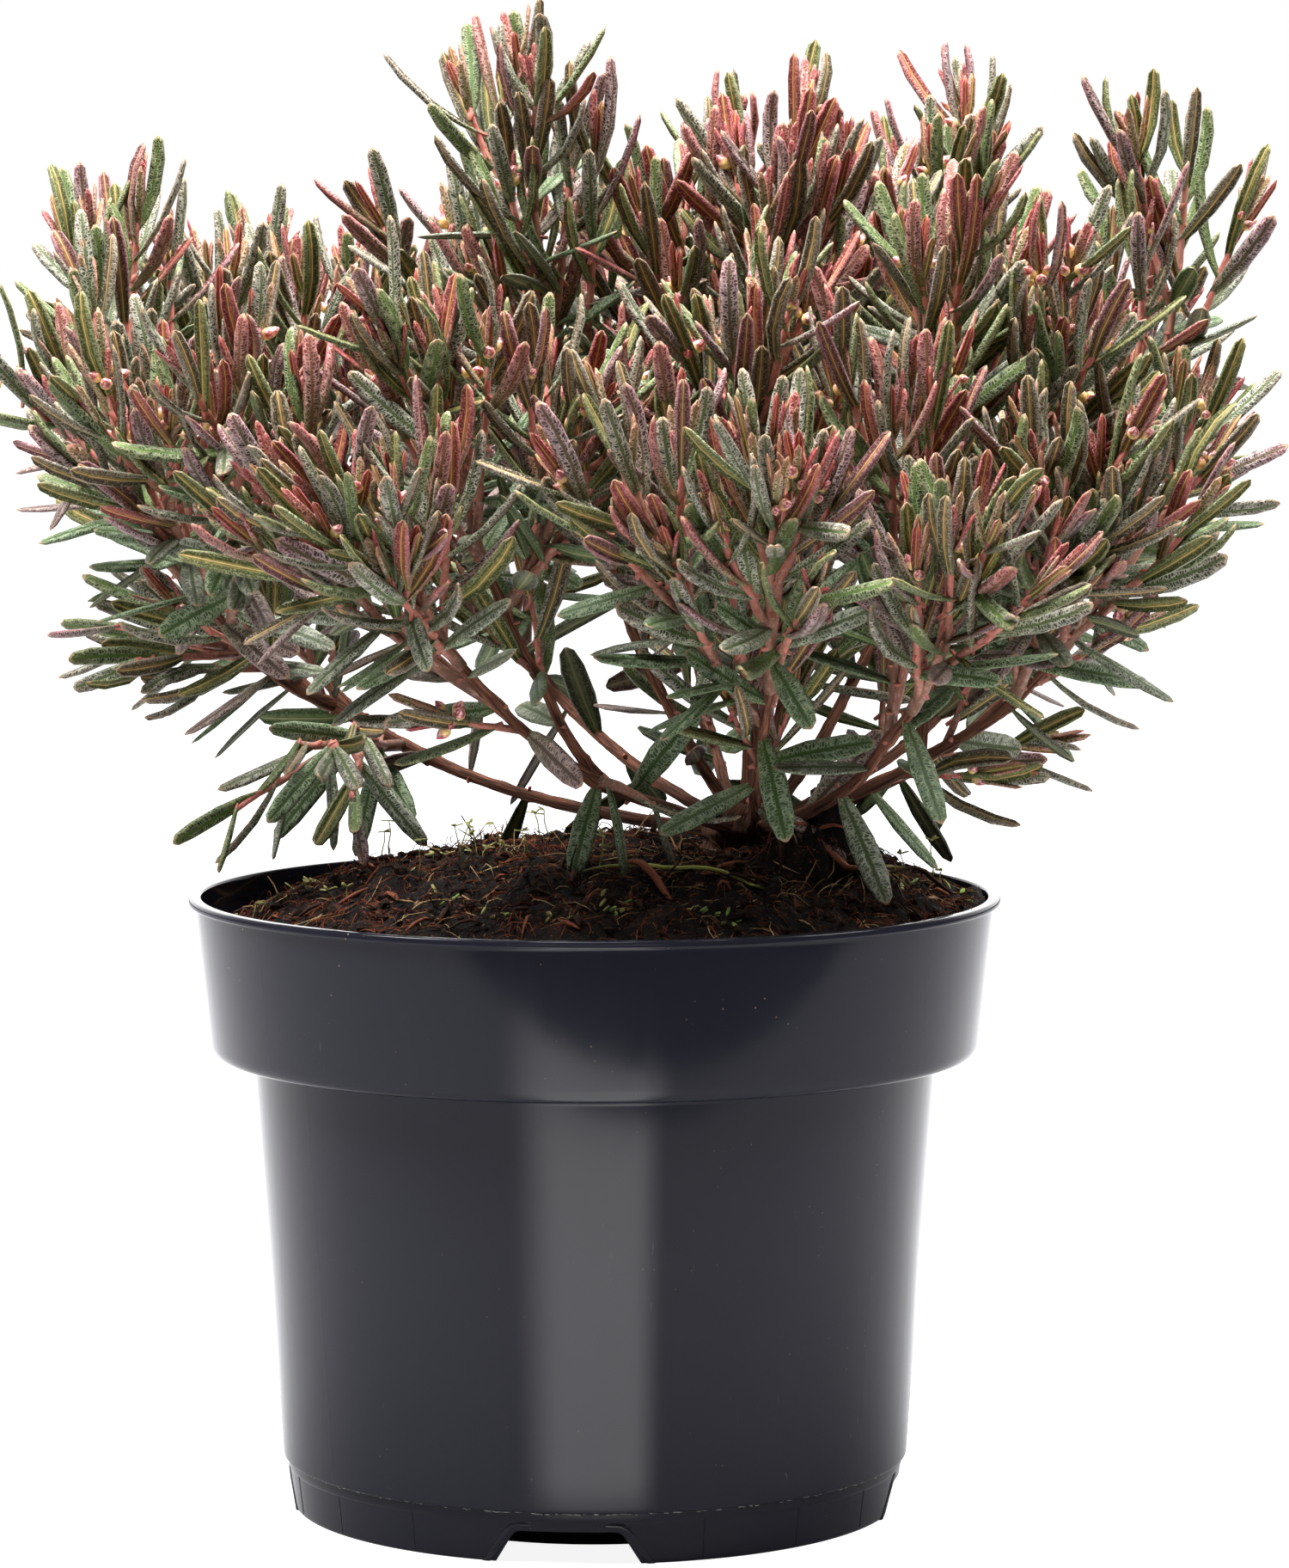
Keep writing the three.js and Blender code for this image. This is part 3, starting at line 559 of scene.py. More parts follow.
# Finishes of the plant.
def old_bark():
    """Brown bark with long fissures, dark partly with painted shade, flaking pale ridges, and darker towards
    its foot.
    """
    finish = Finish("old_bark", specular_ior_level=0.15)
    u, v = finish.map_place()
    place = finish.place()
    _, _, height = finish.parts(place)
    fissures = finish.noise(finish.joined(u * 26, v * 1.1), 1.0, 4.0, 0.65, 0.4)
    flakes = finish.noise(finish.joined(u * 9, v * 3.2), 1.6, 5.0, 0.7)
    patches = finish.noise(place, 70.0, 3.0)
    # Dark in the fissures: partly the bark's own dark and partly painted shade.
    brown = finish.mix(tone(54, 34, 27), tone(140, 90, 68), finish.step(fissures, 0.36, 0.68))
    aged = finish.mix(brown, tone(62, 43, 36), finish.step(patches, 0.55, 0.72) * 0.6)
    flaked = finish.mix(aged, tone(178, 140, 118), finish.step(flakes, 0.60, 0.78) * 0.5)
    # The bark darkens towards its foot, below 162 to 190 millimetres up.
    darker_low = 1 - finish.step(height + patches * 0.02, 0.162, 0.190)
    finish.colour(finish.mix(flaked, tone(34, 25, 21), darker_low * 0.66))
    finish.rough(0.72 + fissures * 0.2)
    finish.bump(fissures * 0.8 + flakes * 0.5, 0.7, 0.0006)
    return finish.material


# A young stem's tones at its foot, middle and tip, and its bloom, from the oldest stems to the youngest.
YOUNG_BARKS = {
    "stem_brown": [(104, 74, 60), (140, 96, 78), (168, 108, 94), (182, 146, 132)],
    "stem_coral": [(124, 84, 68), (160, 98, 82), (178, 100, 92), (198, 152, 142)],
    "stem_pink": [(144, 92, 76), (164, 102, 90), (178, 114, 104), (192, 158, 148)],
}


def young_bark(name):
    """A young stem: brown at its foot and pink at its tip, under a patchy pale bloom."""
    finish = Finish(name, roughness=0.55, specular_ior_level=0.2)
    foot, middle, tip, bloom = (tone(*colour) for colour in YOUNG_BARKS[name])
    u, v = finish.map_place()
    lower = finish.mix(foot, middle, finish.step(v, 0.05, 0.5))
    skin = finish.mix(lower, tip, finish.step(v, 0.5, 0.95))
    patches = finish.noise(finish.joined(u * 5, v * 22), 1.0, 4.0, 0.6)
    pale = finish.mix(skin, bloom, finish.step(patches, 0.45, 0.7) * 0.55)
    lines = finish.noise(finish.joined(u * 18, v * 9), 1.0, 3.0, 0.6)
    finish.colour(finish.mix(pale, tone(92, 44, 38), finish.step(lines, 0.62, 0.74) * 0.4))
    finish.bump(patches + lines * 0.6, 0.4, 0.0003)
    return finish.material


@dataclass
class Tint:
    """How green a leaf's foot is, and its colours: hollows, bloom and painted sheen, rolled edge, groove,
    underside and rib.
    """

    fresh: float
    deep: tuple
    bloom: tuple
    edge: tuple
    groove: tuple
    under: tuple
    rib: tuple


def leaf_tint(fresh, *colours):
    return Tint(fresh, *(tone(*colour) for colour in colours))


@dataclass
class LeafKind:
    """The sizes of one kind of leaf, in millimetres: curl is in radians, and roll from 0 to 1."""

    length: float
    length_spread: float
    half_width: float
    width_spread: float
    roll: float
    curl: float
    curl_spread: float
    stipple: float


BROAD = LeafKind(22.0, 6.5, 1.9, 0.6, 0.6, -0.08, 0.25, 0.5)
FINGER = LeafKind(22.0, 7.5, 1.75, 0.5, 0.9, 0.5, 0.45, 0.5)
YOUNG = LeafKind(9.0, 7.0, 1.0, 0.4, 1.0, 0.22, 0.25, 0.5)

# Down a shoot its leaves widen by this much for each millimetre, up to the widest half width.
WIDENING = 0.022
WIDEST = 3.3

# The share of the narrow leaves that turn their undersides up.
TURNED_OVER = 0.42

TINTS = {
    "broad_green": leaf_tint(
        0.4, (52, 74, 45), (158, 170, 140), (72, 86, 50), (56, 76, 36), (104, 118, 78), (140, 142, 100),
    ),
    "broad_grey": leaf_tint(
        0.4, (64, 74, 57), (178, 180, 162), (88, 86, 66), (64, 76, 46), (114, 120, 90), (146, 142, 104),
    ),
    "broad_purple": leaf_tint(
        0.4, (74, 55, 52), (178, 160, 152), (92, 68, 62), (74, 58, 50), (118, 106, 86), (146, 130, 100),
    ),
    "finger_green": leaf_tint(
        0.4, (28, 44, 20), (150, 158, 120), (92, 88, 48), (72, 96, 36), (114, 104, 54), (168, 142, 98),
    ),
    "finger_grey": leaf_tint(
        0.4, (36, 44, 30), (182, 178, 162), (106, 88, 70), (70, 84, 46), (128, 106, 62), (182, 150, 112),
    ),
    "finger_purple": leaf_tint(
        0.55, (46, 31, 33), (186, 164, 162), (130, 78, 78), (82, 70, 48), (132, 98, 62), (186, 144, 108),
    ),
    "finger_red": leaf_tint(
        0.85, (64, 30, 29), (188, 142, 134), (142, 68, 64), (106, 68, 42), (134, 86, 52), (184, 134, 92),
    ),
    "young_red": leaf_tint(
        0.75, (94, 36, 38), (196, 138, 134), (152, 60, 62), (122, 72, 44), (150, 96, 56), (188, 144, 92),
    ),
    "young_pink": leaf_tint(
        0.4, (88, 76, 46), (204, 180, 162), (166, 96, 82), (118, 112, 54), (152, 140, 72), (196, 176, 112),
    ),
}
SAP_GREEN = tone(88, 106, 36)
DEEP_OLIVE = tone(44, 54, 24)
DRY_TIP = tone(158, 128, 100)


def leaf_upper(name, tint, kind):
    """The wrinkled upper side: veins run out from the groove towards the tip, and bloom with painted sheen
    lies between.
    """
    finish = Finish(name, roughness=0.5, specular_ior_level=0.2)
    u, v = finish.map_place()
    out = abs(u * 4 - 1)
    x = out * (kind.half_width * 1.5)
    y = v * kind.length
    slant = math.radians(48)
    run = x * math.sin(slant) + y * math.cos(slant)
    over = x * math.cos(slant) - y * math.sin(slant)
    side = finish.step(u, 0.249, 0.251) * 7.3
    patches = finish.noise(finish.joined(x / 2.6 + side, y / 3.4), 1.0, 2.0)
    wrinkles = finish.noise(finish.joined(x / 0.9 + side, y / 0.9), 1.0, 3.0, 0.6)
    wander = wrinkles * 0.8
    net = finish.joined(run / (kind.stipple * 1.7) + side + wander, over / kind.stipple + wander)
    ridges = 1 - finish.step(finish.cells(net, 1.0, "DISTANCE_TO_EDGE"), 0.04, 0.18)
    specks = finish.noise(finish.joined(x / 0.26 + side, y / 0.26), 1.0, 2.0)
    # The pale ridges are partly the leaf's waxy bloom and partly painted sheen, and the pale specks are
    # painted glints.
    pale = ridges * (0.40 + finish.step(patches, 0.35, 0.65) * 0.50)
    deep = finish.mix(tint.deep, DEEP_OLIVE, (1 - finish.step(v, 0.2, 0.8)) * tint.fresh)
    lightened = finish.mix(deep, tint.bloom, pale + finish.step(specks, 0.52, 0.7) * 0.22)
    fresh = finish.mix(lightened, SAP_GREEN, (1 - finish.step(v, 0.05, 0.6)) * (0.15 + tint.fresh * 0.3))
    rim = finish.step(out, 0.55, 0.85) * (0.2 + finish.step(v, 0.1, 0.6) * 0.35)
    edged = finish.mix(fresh, tint.edge, rim)
    blushed = finish.mix(edged, tint.edge, finish.step(v, 0.6, 1.0) * (0.3 + patches * 0.3))
    grooved = finish.mix(tint.groove, blushed, finish.step(out, 0.03, 0.16))
    finish.colour(finish.mix(grooved, DRY_TIP, finish.step(v, 0.955, 0.985) * 0.7))
    finish.rough(0.40 + ridges * 0.24)
    finish.bump(ridges * 0.6 + wrinkles * 0.4, 0.6, 0.0003)
    return finish.material


def leaf_under(name, tint, kind):
    """The pale underside with its raised rib, between the rolled edges, which are stippled like the top and
    carry its painted glints.
    """
    finish = Finish(name, roughness=0.6, specular_ior_level=0.1)
    u, v = finish.map_place()
    out = abs(u * 4 - 3)
    veins = finish.noise(finish.joined(out * 3 + v * 6, v * kind.length / 1.2 - out * 3), 1.0, 3.0, 0.6)
    specks = finish.noise(finish.joined(out * 4, v * kind.length / 0.6), 1.0, 2.0, 0.6)
    stipple = finish.step(specks, 0.42, 0.62)
    felt = finish.mix(tint.under, tint.deep, finish.step(veins, 0.42, 0.68) * 0.6)
    band = finish.mix(felt, SAP_GREEN, (1 - finish.step(v, 0.05, 0.7)) * (0.2 + tint.fresh * 0.4))
    ribbed = finish.mix(tint.rib, band, finish.step(out, 0.04, 0.12))
    deep = finish.mix(tint.deep, DEEP_OLIVE, (1 - finish.step(v, 0.2, 0.8)) * tint.fresh)
    rolled = finish.mix(deep, tint.edge, (0.25 + stipple * 0.5) * (0.3 + finish.step(v, 0.1, 0.7) * 0.7))
    # The pale specks on the rolled edges are painted glints, as on the top.
    margin = finish.mix(rolled, tint.bloom, finish.step(specks, 0.52, 0.7) * 0.45)
    finish.colour(finish.mix(ribbed, margin, finish.step(out, 0.36, 0.46)))
    relief = veins * 0.6 + stipple * finish.step(out, 0.5, 0.6) - finish.step(out, 0.0, 0.2) * 0.8
    finish.bump(relief, 0.5, 0.0003)
    return finish.material


def leaf_stalk(name, tint):
    finish = Finish(name, roughness=0.5)
    u, v = finish.map_place()
    spots = finish.noise(finish.joined(u * 8, v * 40), 1.0, 2.0)
    finish.colour(finish.mix(tone(176, 96, 82), tint.edge, finish.step(spots, 0.4, 0.65) * 0.5))
    return finish.material


def bud_finish():
    """A flower bud: cream at its foot, pink-red at its tip."""
    finish = Finish("flower_bud", roughness=0.4, subsurface_weight=0.08)
    u, v = finish.map_place()
    lobes = finish.noise(finish.joined(u * 6, v * 3.5), 1.0, 2.0)
    foot = finish.mix(tone(228, 196, 124), tone(196, 128, 92), finish.step(lobes, 0.45, 0.68))
    scales = finish.mix(tone(136, 58, 66), tone(214, 160, 152), finish.step(lobes, 0.46, 0.6))
    finish.colour(finish.mix(foot, scales, finish.step(v + lobes * 0.3, 0.5, 0.78)))
    finish.rough(0.35 + lobes * 0.2)
    return finish.material


# Random numbers, directions and the courses of stems.
class Draw:
    """Random numbers from 0 to 1 that are the same on every run."""

    MODULUS = 2147483647
    MULTIPLIER = 16807

    def __init__(self, seed):
        self.state = (seed * 7919 + 101) % self.MODULUS

    def __call__(self):
        self.state = (self.state * self.MULTIPLIER) % self.MODULUS
        return self.state / self.MODULUS

    def between(self, low, high):
        return low + (high - low) * self()

    def pick(self, weighted):
        """One of the names, by their weights."""
        aim = self() * sum(weighted.values())
        for name, weight in weighted.items():
            aim -= weight
            if aim <= 0:
                return name
        return name


UP = np.array([0.0, 0.0, 1.0])


def unit(vector):
    return vector / max(np.linalg.norm(vector), 1e-9)


def cross(a, b):
    return np.array([
        a[1] * b[2] - a[2] * b[1],
        a[2] * b[0] - a[0] * b[2],
        a[0] * b[1] - a[1] * b[0],
    ])


def square_to(direction):
    """Two directions square to a given one and to each other."""
    first = cross(direction, UP)
    if np.linalg.norm(first) < 1e-3:
        first = np.array([1.0, 0.0, 0.0])
    first = unit(first)
    return first, unit(cross(direction, first))


def leaning_from(direction, turn, angle):
    """The direction that leans away from a stem by an angle, on the side given by a turn round it."""
    first, second = square_to(direction)
    turn, angle = math.radians(turn), math.radians(angle)
    outward = first * math.cos(turn) + second * math.sin(turn)
    return unit(direction * math.cos(angle) + outward * math.sin(angle))


class Course:
    """A stem's course: it runs outwards from its foot, then turns up to its tip, and wanders a little."""

    def __init__(self, foot, tip, flare, lift, wander=0.0, phase=0.0):
        self.foot, self.tip = np.array(foot, float), np.array(tip, float)
        self.turn = self.foot + (self.tip - self.foot) * flare
        self.turn[2] = foot[2] + (tip[2] - foot[2]) * lift
        self.side, self.over = square_to(unit(self.tip - self.foot))
        self.wander, self.phase = wander, phase

    def point(self, t):
        t = np.asarray(t, float)[..., None]
        bend = (1 - t) ** 2 * self.foot + 2 * t * (1 - t) * self.turn + t ** 2 * self.tip
        sway = self.wander * np.sin(math.pi * np.clip(t, 0, 1))
        first = np.sin(11 * t + self.phase) + 0.5 * np.sin(23 * t + 2.3 * self.phase)
        second = np.cos(9 * t + 1.7 * self.phase) + 0.5 * np.cos(27 * t + self.phase)
        return bend + sway * (first * self.side + second * self.over)

    def tangent(self, t):
        low, high = max(t - 0.01, 0), min(t + 0.01, 1)
        return unit(self.point(high) - self.point(low))

    def length(self):
        stations = self.point(np.linspace(0, 1, 17))
        return float(np.linalg.norm(np.diff(stations, axis=0), axis=1).sum())


class Stretch:
    """A stretch of a longer course."""

    def __init__(self, whole, start, end):
        self.whole, self.start, self.end = whole, start, end

    def point(self, t):
        return self.whole.point(self.start + (self.end - self.start) * np.asarray(t, float))

    def tangent(self, t):
        return self.whole.tangent(self.start + (self.end - self.start) * t)

    length = Course.length


# Small shapes that are repeated, and the meshes that they are joined into.
class Tube:
    """A capped tube of rings, modelled once, whose every vertex knows its ring and its place round it."""

    def __init__(self, sides, rings, turns=None):
        bm = bmesh.new()
        bmesh.ops.create_cone(
            bm, cap_ends=True, cap_tris=False, segments=sides, radius1=1, radius2=1, depth=rings - 1
        )
        upright = [edge for edge in bm.edges if abs(edge.verts[0].co.z - edge.verts[1].co.z) > 0.5]
        if rings > 2:
            bmesh.ops.subdivide_edges(bm, edges=upright, cuts=rings - 2)
        bm.verts.index_update()
        self.sides, self.rings = sides, rings
        self.ring = np.array([round(v.co.z + (rings - 1) / 2) for v in bm.verts])
        around = [math.atan2(v.co.y, v.co.x) / (2 * math.pi) * sides for v in bm.verts]
        self.around = np.array([round(place) % sides for place in around])
        self.corners = np.array([loop.vert.index for face in bm.faces for loop in face.loops])
        self.sizes = np.array([len(face.verts) for face in bm.faces])
        self.map = self.corner_map(bm, turns or [i / sides for i in range(sides + 1)])
        self.face_ring = np.array([min(self.ring[v.index] for v in face.verts) for face in bm.faces])
        self.face_around = np.array([self.face_place(face) for face in bm.faces])
        bm.free()

    def face_place(self, face):
        """The first of the two places round the tube that a face spans, or -1 for an end cap."""
        if len(face.verts) > 4 or len({self.ring[v.index] for v in face.verts}) == 1:
            return -1
        places = {self.around[v.index] for v in face.verts}
        return max(places) if max(places) - min(places) > 1 else min(places)

    def corner_map(self, bm, turns):
        """The map coordinates of each face's corners: round the tube and along it."""
        rows = []
        for face in bm.faces:
            places = [self.around[loop.vert.index] for loop in face.loops]
            wraps = max(places) - min(places) > self.sides / 2
            for loop, place in zip(face.loops, places):
                shifted = self.sides if wraps and place == 0 else place
                rows.append((turns[shifted], self.ring[loop.vert.index] / (self.rings - 1)))
        return np.array(rows)


@lru_cache(maxsize=None)
def tube(sides, rings):
    return Tube(sides, rings)


class Joined:
    """Many small shapes gathered into one mesh."""

    def __init__(self):
        self.points, self.corners, self.sizes, self.slots, self.maps = [], [], [], [], []
        self.count = 0

    def add(self, points, corners, sizes, slots, corner_map):
        """One shape: its points in millimetres, and its faces' corners, sizes, slots and map."""
        self.points.append(points)
        self.corners.append(corners + self.count)
        self.sizes.append(sizes)
        self.slots.append(np.broadcast_to(slots, sizes.shape))
        self.maps.append(corner_map)
        self.count += len(points)

    def add_tube(self, shape, rings, slots=0, corner_map=None, keep=None):
        """A tube by the points of its rings. A last function may move the points."""
        points = np.asarray(rings).reshape(shape.rings, shape.sides, 3)[shape.ring, shape.around]
        corner_map = shape.map if corner_map is None else corner_map
        self.add(keep(points) if keep else points, shape.corners, shape.sizes, slots, corner_map)

    def piece(self, name, materials, slot, replaced=(), smooth=True):
        """The joined mesh as a finished piece that rides on the body."""
        mesh = bpy.data.meshes.new(name)
        corners = np.concatenate(self.corners)
        sizes = np.concatenate(self.sizes)
        mesh.vertices.add(self.count)
        mesh.vertices.foreach_set("co", (np.concatenate(self.points) * MM).astype(np.float32).ravel())
        mesh.loops.add(len(corners))
        mesh.loops.foreach_set("vertex_index", corners.astype(np.int32))
        mesh.polygons.add(len(sizes))
        starts = np.concatenate([[0], np.cumsum(sizes)[:-1]])
        mesh.polygons.foreach_set("loop_start", starts.astype(np.int32))
        mesh.polygons.foreach_set("material_index", np.concatenate(self.slots).astype(np.int32))
        mesh.polygons.foreach_set("use_smooth", np.full(len(sizes), smooth))
        layer = mesh.uv_layers.new(name=PIECE_MAP)
        layer.data.foreach_set("uv", np.concatenate(self.maps).astype(np.float32).ravel())
        mesh.update(calc_edges=True)
        mesh.validate()
        return finished(mesh, name, materials, replaced)


def finished(mesh, name, materials, replaced=()):
    """Puts a mesh into the scene as a piece of the object."""
    for material in materials:
        mesh.materials.append(material)
    piece = bpy.data.objects.new(name, mesh)
    bpy.context.collection.objects.link(piece)
    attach(piece, BODY)
    if replaced:
        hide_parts(*replaced)
    return piece


def rings_along(course, radii, sides, rings, end=1.0):
    """The points of a tube's rings along a course. Radii may vary from ring to ring and round each ring."""
    places = np.linspace(0, end, rings)
    centres = course.point(places)
    forward = course.point(np.clip(places + 0.01, 0, 1)) - course.point(np.clip(places - 0.01, 0, 1))
    forward /= np.linalg.norm(forward, axis=1)[:, None]
    side, _ = square_to(unit(centres[-1] - centres[0]))
    inner = np.cross(side, forward)
    inner /= np.linalg.norm(inner, axis=1)[:, None]
    across = np.cross(forward, inner)
    turns = np.arange(sides) * 2 * math.pi / sides
    radii = np.broadcast_to(np.asarray(radii, float).reshape(rings, -1), (rings, sides))
    around = across[:, None] * np.cos(turns)[None, :, None] - inner[:, None] * np.sin(turns)[None, :, None]
    return centres[:, None] + around * radii[..., None]


def add_stem(joined, course, radii, sides, rings, slots=0):
    joined.add_tube(tube(sides, rings), rings_along(course, radii, sides, rings), slots)


# The pot.
def filleted(corners, steps=5):
    """A section with its corners rounded. Each corner is a radius, a height and its rounding."""
    points = []
    for i, (x, z, rounding) in enumerate(corners):
        here = Vector((x, z))
        if rounding == 0:
            points.append(here)
            continue
        before = Vector(corners[i - 1][:2]) - here
        after = Vector(corners[i + 1][:2]) - here
        reach = min(rounding, before.length * 0.45, after.length * 0.45)
        start, end = here + before.normalized() * reach, here + after.normalized() * reach
        for k in range(steps + 1):
            t = k / steps
            points.append(start * (1 - t) ** 2 + here * (2 * t * (1 - t)) + end * t ** 2)
    return points


def pot_section():
    """The pot's outside and underside, from the axis to the lip, and its inside back to the axis."""
    wall, height = POT["wall"], POT["height"]
    collar_foot = height - POT["collar_height"]
    channel, inner, slope = POT["channel_height"], POT["channel_inner_radius"], POT["channel_slope"]
    ring_inner = POT["foot_radius"] - POT["foot_ring_width"]
    lip_under = height - POT["lip_depth"]
    return filleted([
        (0, 0, 0),
        (inner, 0, 0.8),
        (inner + slope, channel, 0.8),
        (ring_inner - slope, channel, 0.8),
        (ring_inner, 0, 0.5),
        (POT["foot_radius"], 0, 0.7),
        (POT["foot_top_radius"], POT["foot_height"], 0.35),
        (POT["foot_top_radius"] + 0.25, POT["foot_height"] + 0.45, 0.2),
        (POT["body_bottom_radius"], POT["foot_height"] + 0.6, 0.5),
        (POT["body_top_radius"], collar_foot, 1.0),
        (POT["collar_bottom_radius"], collar_foot, 2.6),
        (POT["collar_top_radius"], lip_under, 0.3),
        (POT["lip_radius"], lip_under, 0.5),
        (POT["lip_radius"], height, 0.9),
        (POT["collar_top_radius"] - wall, height, 0.5),
        (POT["collar_bottom_radius"] - wall, collar_foot + wall, 1.2),
        (POT["body_top_radius"] - wall, collar_foot + wall, 0.8),
        (POT["body_bottom_radius"] - wall, channel + wall, 1.5),
        (inner, channel + wall, 0.8),
        (inner - slope, wall, 0.8),
        (0, wall, 0),
    ])


def supported(points, near=0.7):
    """A section with a point near each end of its long stretches, so that these reflect straight."""
    rows = [points[0]]
    for before, after in zip(points, points[1:]):
        reach = after - before
        if reach.length > near * 4:
            rows.append(before + reach.normalized() * near)
            rows.append(after - reach.normalized() * near)
        rows.append(after)
    return rows


def spun(points, steps):
    """A surface made by turning a section about Z: closed where the section starts and ends on the axis."""
    bm = bmesh.new()
    verts = [bm.verts.new((x * MM, 0, z * MM)) for x, z in points]
    for first, second in zip(verts, verts[1:]):
        bm.edges.new((first, second))
    bmesh.ops.spin(
        bm, geom=bm.verts[:] + bm.edges[:], cent=(0, 0, 0), axis=(0, 0, 1), angle=2 * math.pi,
        steps=steps, use_merge=True,
    )
    bmesh.ops.remove_doubles(bm, verts=bm.verts, dist=0.00001)
    bmesh.ops.recalc_face_normals(bm, faces=bm.faces)
    return bm


def as_object(bm, name):
    mesh = bpy.data.meshes.new(name)
    bm.to_mesh(mesh)
    bm.free()
    made = bpy.data.objects.new(name, mesh)
    bpy.context.collection.objects.link(made)
    return made


def notch_outline(grown=0.0):
    """A notch seen from the front, as x and z, with its two upper corners rounded. It may be drawn larger."""
    half_top, half_bottom, height = NOTCH["top_width"] / 2, NOTCH["bottom_width"] / 2, NOTCH["height"]
    lean = (half_bottom - half_top) / height
    top, below = height + grown, 2.0
    outer, inner = half_bottom + grown * 1.1 + lean * below, half_top + grown * 0.75
    rounding = NOTCH["rounding"] + grown * 0.5
    corners = [(-outer, -below, 0), (-inner, top, rounding), (inner, top, rounding), (outer, -below, 0)]
    return filleted(corners, 6)


def notch_cutters():
    """The four notches as solids that stand through the foot ring."""
    bm = bmesh.new()
    for i in range(NOTCH["count"]):
        near = [bm.verts.new((p.x * MM, -NOTCH["cut_from"] * MM, p.y * MM)) for p in notch_outline()]
        face = bm.faces.new(near)
        pushed = bmesh.ops.extrude_face_region(bm, geom=[face])["geom"]
        moved = [part for part in pushed if isinstance(part, bmesh.types.BMVert)]
        bmesh.ops.translate(bm, verts=moved, vec=(0, -NOTCH["cut_depth"] * MM, 0))
        turn = math.radians(NOTCH["first_heading"] + 90 + i * 360 / NOTCH["count"])
        bmesh.ops.rotate(bm, verts=near + moved, cent=(0, 0, 0), matrix=Matrix.Rotation(turn, 3, "Z"))
    bmesh.ops.recalc_face_normals(bm, faces=bm.faces)
    return as_object(bm, "notch_cutters")


def drain_cutters():
    """The drain holes in the roof of the channel."""
    bm = bmesh.new()
    for i in range(DRAIN["count"]):
        heading = math.radians(NOTCH["first_heading"] + (i + 0.5) * 360 / DRAIN["count"])
        place = Matrix.Translation((
            DRAIN["ring_radius"] * MM * math.cos(heading),
            DRAIN["ring_radius"] * MM * math.sin(heading),
            POT["channel_height"] * MM,
        ))
        radius = DRAIN["radius"] * MM
        bmesh.ops.create_cone(
            bm, cap_ends=True, segments=24, radius1=radius, radius2=radius, depth=DRAIN["depth"] * MM,
            matrix=place,
        )
    return as_object(bm, "drain_cutters")


def cut(target, cutter):
    """Cuts one object with another, applies the cut and removes the cutter."""
    boolean = target.modifiers.new("cut", "BOOLEAN")
    boolean.operation = "DIFFERENCE"
    boolean.object = cutter
    boolean.solver = "EXACT"
    applied = bpy.data.meshes.new_from_object(
        target.evaluated_get(bpy.context.evaluated_depsgraph_get())
    )
    target.modifiers.clear()
    target.data = applied
    bpy.data.objects.remove(cutter)


def foot_radius_at(height):
    share = height / POT["foot_height"]
    return POT["foot_radius"] + (POT["foot_top_radius"] - POT["foot_radius"]) * share


def round_the_pot(radius, angle, z):
    return radius * math.cos(angle), radius * math.sin(angle), z


def notch_border(joined, heading):
    """The raised, rounded border round a notch: a flat bead bent round the foot."""
    outline = notch_outline(NOTCH["border_gap"])
    rows = []
    for i, point in enumerate(outline):
        before = outline[max(i - 1, 0)]
        after = outline[min(i + 1, len(outline) - 1)]
        along = (after - before).normalized()
        outward = Vector((along.y, -along.x))
        for k in range(8):
            turn = k * math.pi / 4
            across = outward * (math.cos(turn) * NOTCH["border_half_width"])
            x, z = point.x + across.x, max(point.y + across.y, 0.05)
            radius = foot_radius_at(z) - 0.12 + NOTCH["border_rise"] * math.sin(turn)
            rows.append(round_the_pot(radius, math.radians(heading) + x / radius, z))
    joined.add_tube(tube(8, len(outline)), rows)


def mould_lines(joined):
    """Fine upright lines that the mould's parts leave on the foot, between its notches."""
    spacing = 360 / NOTCH["count"]
    for i in range(MOULD_LINES["count"]):
        place = 25 + i * MOULD_LINES["spacing"] + 3 * math.sin(7 * i)
        from_notch = (place + spacing / 2) % spacing - spacing / 2
        if abs(from_notch) < MOULD_LINES["from_notch"]:
            continue
        heading = math.radians(NOTCH["first_heading"] + place)
        rows = []
        for z in (0.8, POT["foot_height"] - 0.4):
            radius = foot_radius_at(z)
            for k in range(4):
                turn = k * math.pi / 2
                angle = heading + MOULD_LINES["half_width"] * math.cos(turn) / radius
                rows.append(round_the_pot(radius + MOULD_LINES["rise"] * math.sin(turn), angle, z))
        joined.add_tube(tube(4, 2), rows)


def seam_flecks(joined):
    """Torn flakes of plastic along the seam over the foot, thickest over the front notch."""
    draw = Draw(77)
    front = math.radians(NOTCH["first_heading"])
    for _ in range(SEAM_FLECKS["count"]):
        heading = front + draw.between(-math.pi, math.pi)
        if draw() > 0.45 + 0.5 * math.cos(heading - front):
            continue
        length = draw.between(*SEAM_FLECKS["length"])
        size = draw.between(*SEAM_FLECKS["size"])
        height = POT["foot_height"] + 0.35 + draw.between(-0.15, 0.2)
        rows = []
        for step in range(3):
            radius = POT["foot_top_radius"] + 0.5 + draw.between(0, 0.12)
            angle = heading + (step - 1) * length / radius / 2
            for k in range(3):
                turn = k * 2 * math.pi / 3
                thick = size * (1 if step == 1 else 0.35)
                rise = height + thick * math.sin(turn)
                rows.append(round_the_pot(radius + thick * math.cos(turn), angle, rise))
        joined.add_tube(tube(3, 3), rows)


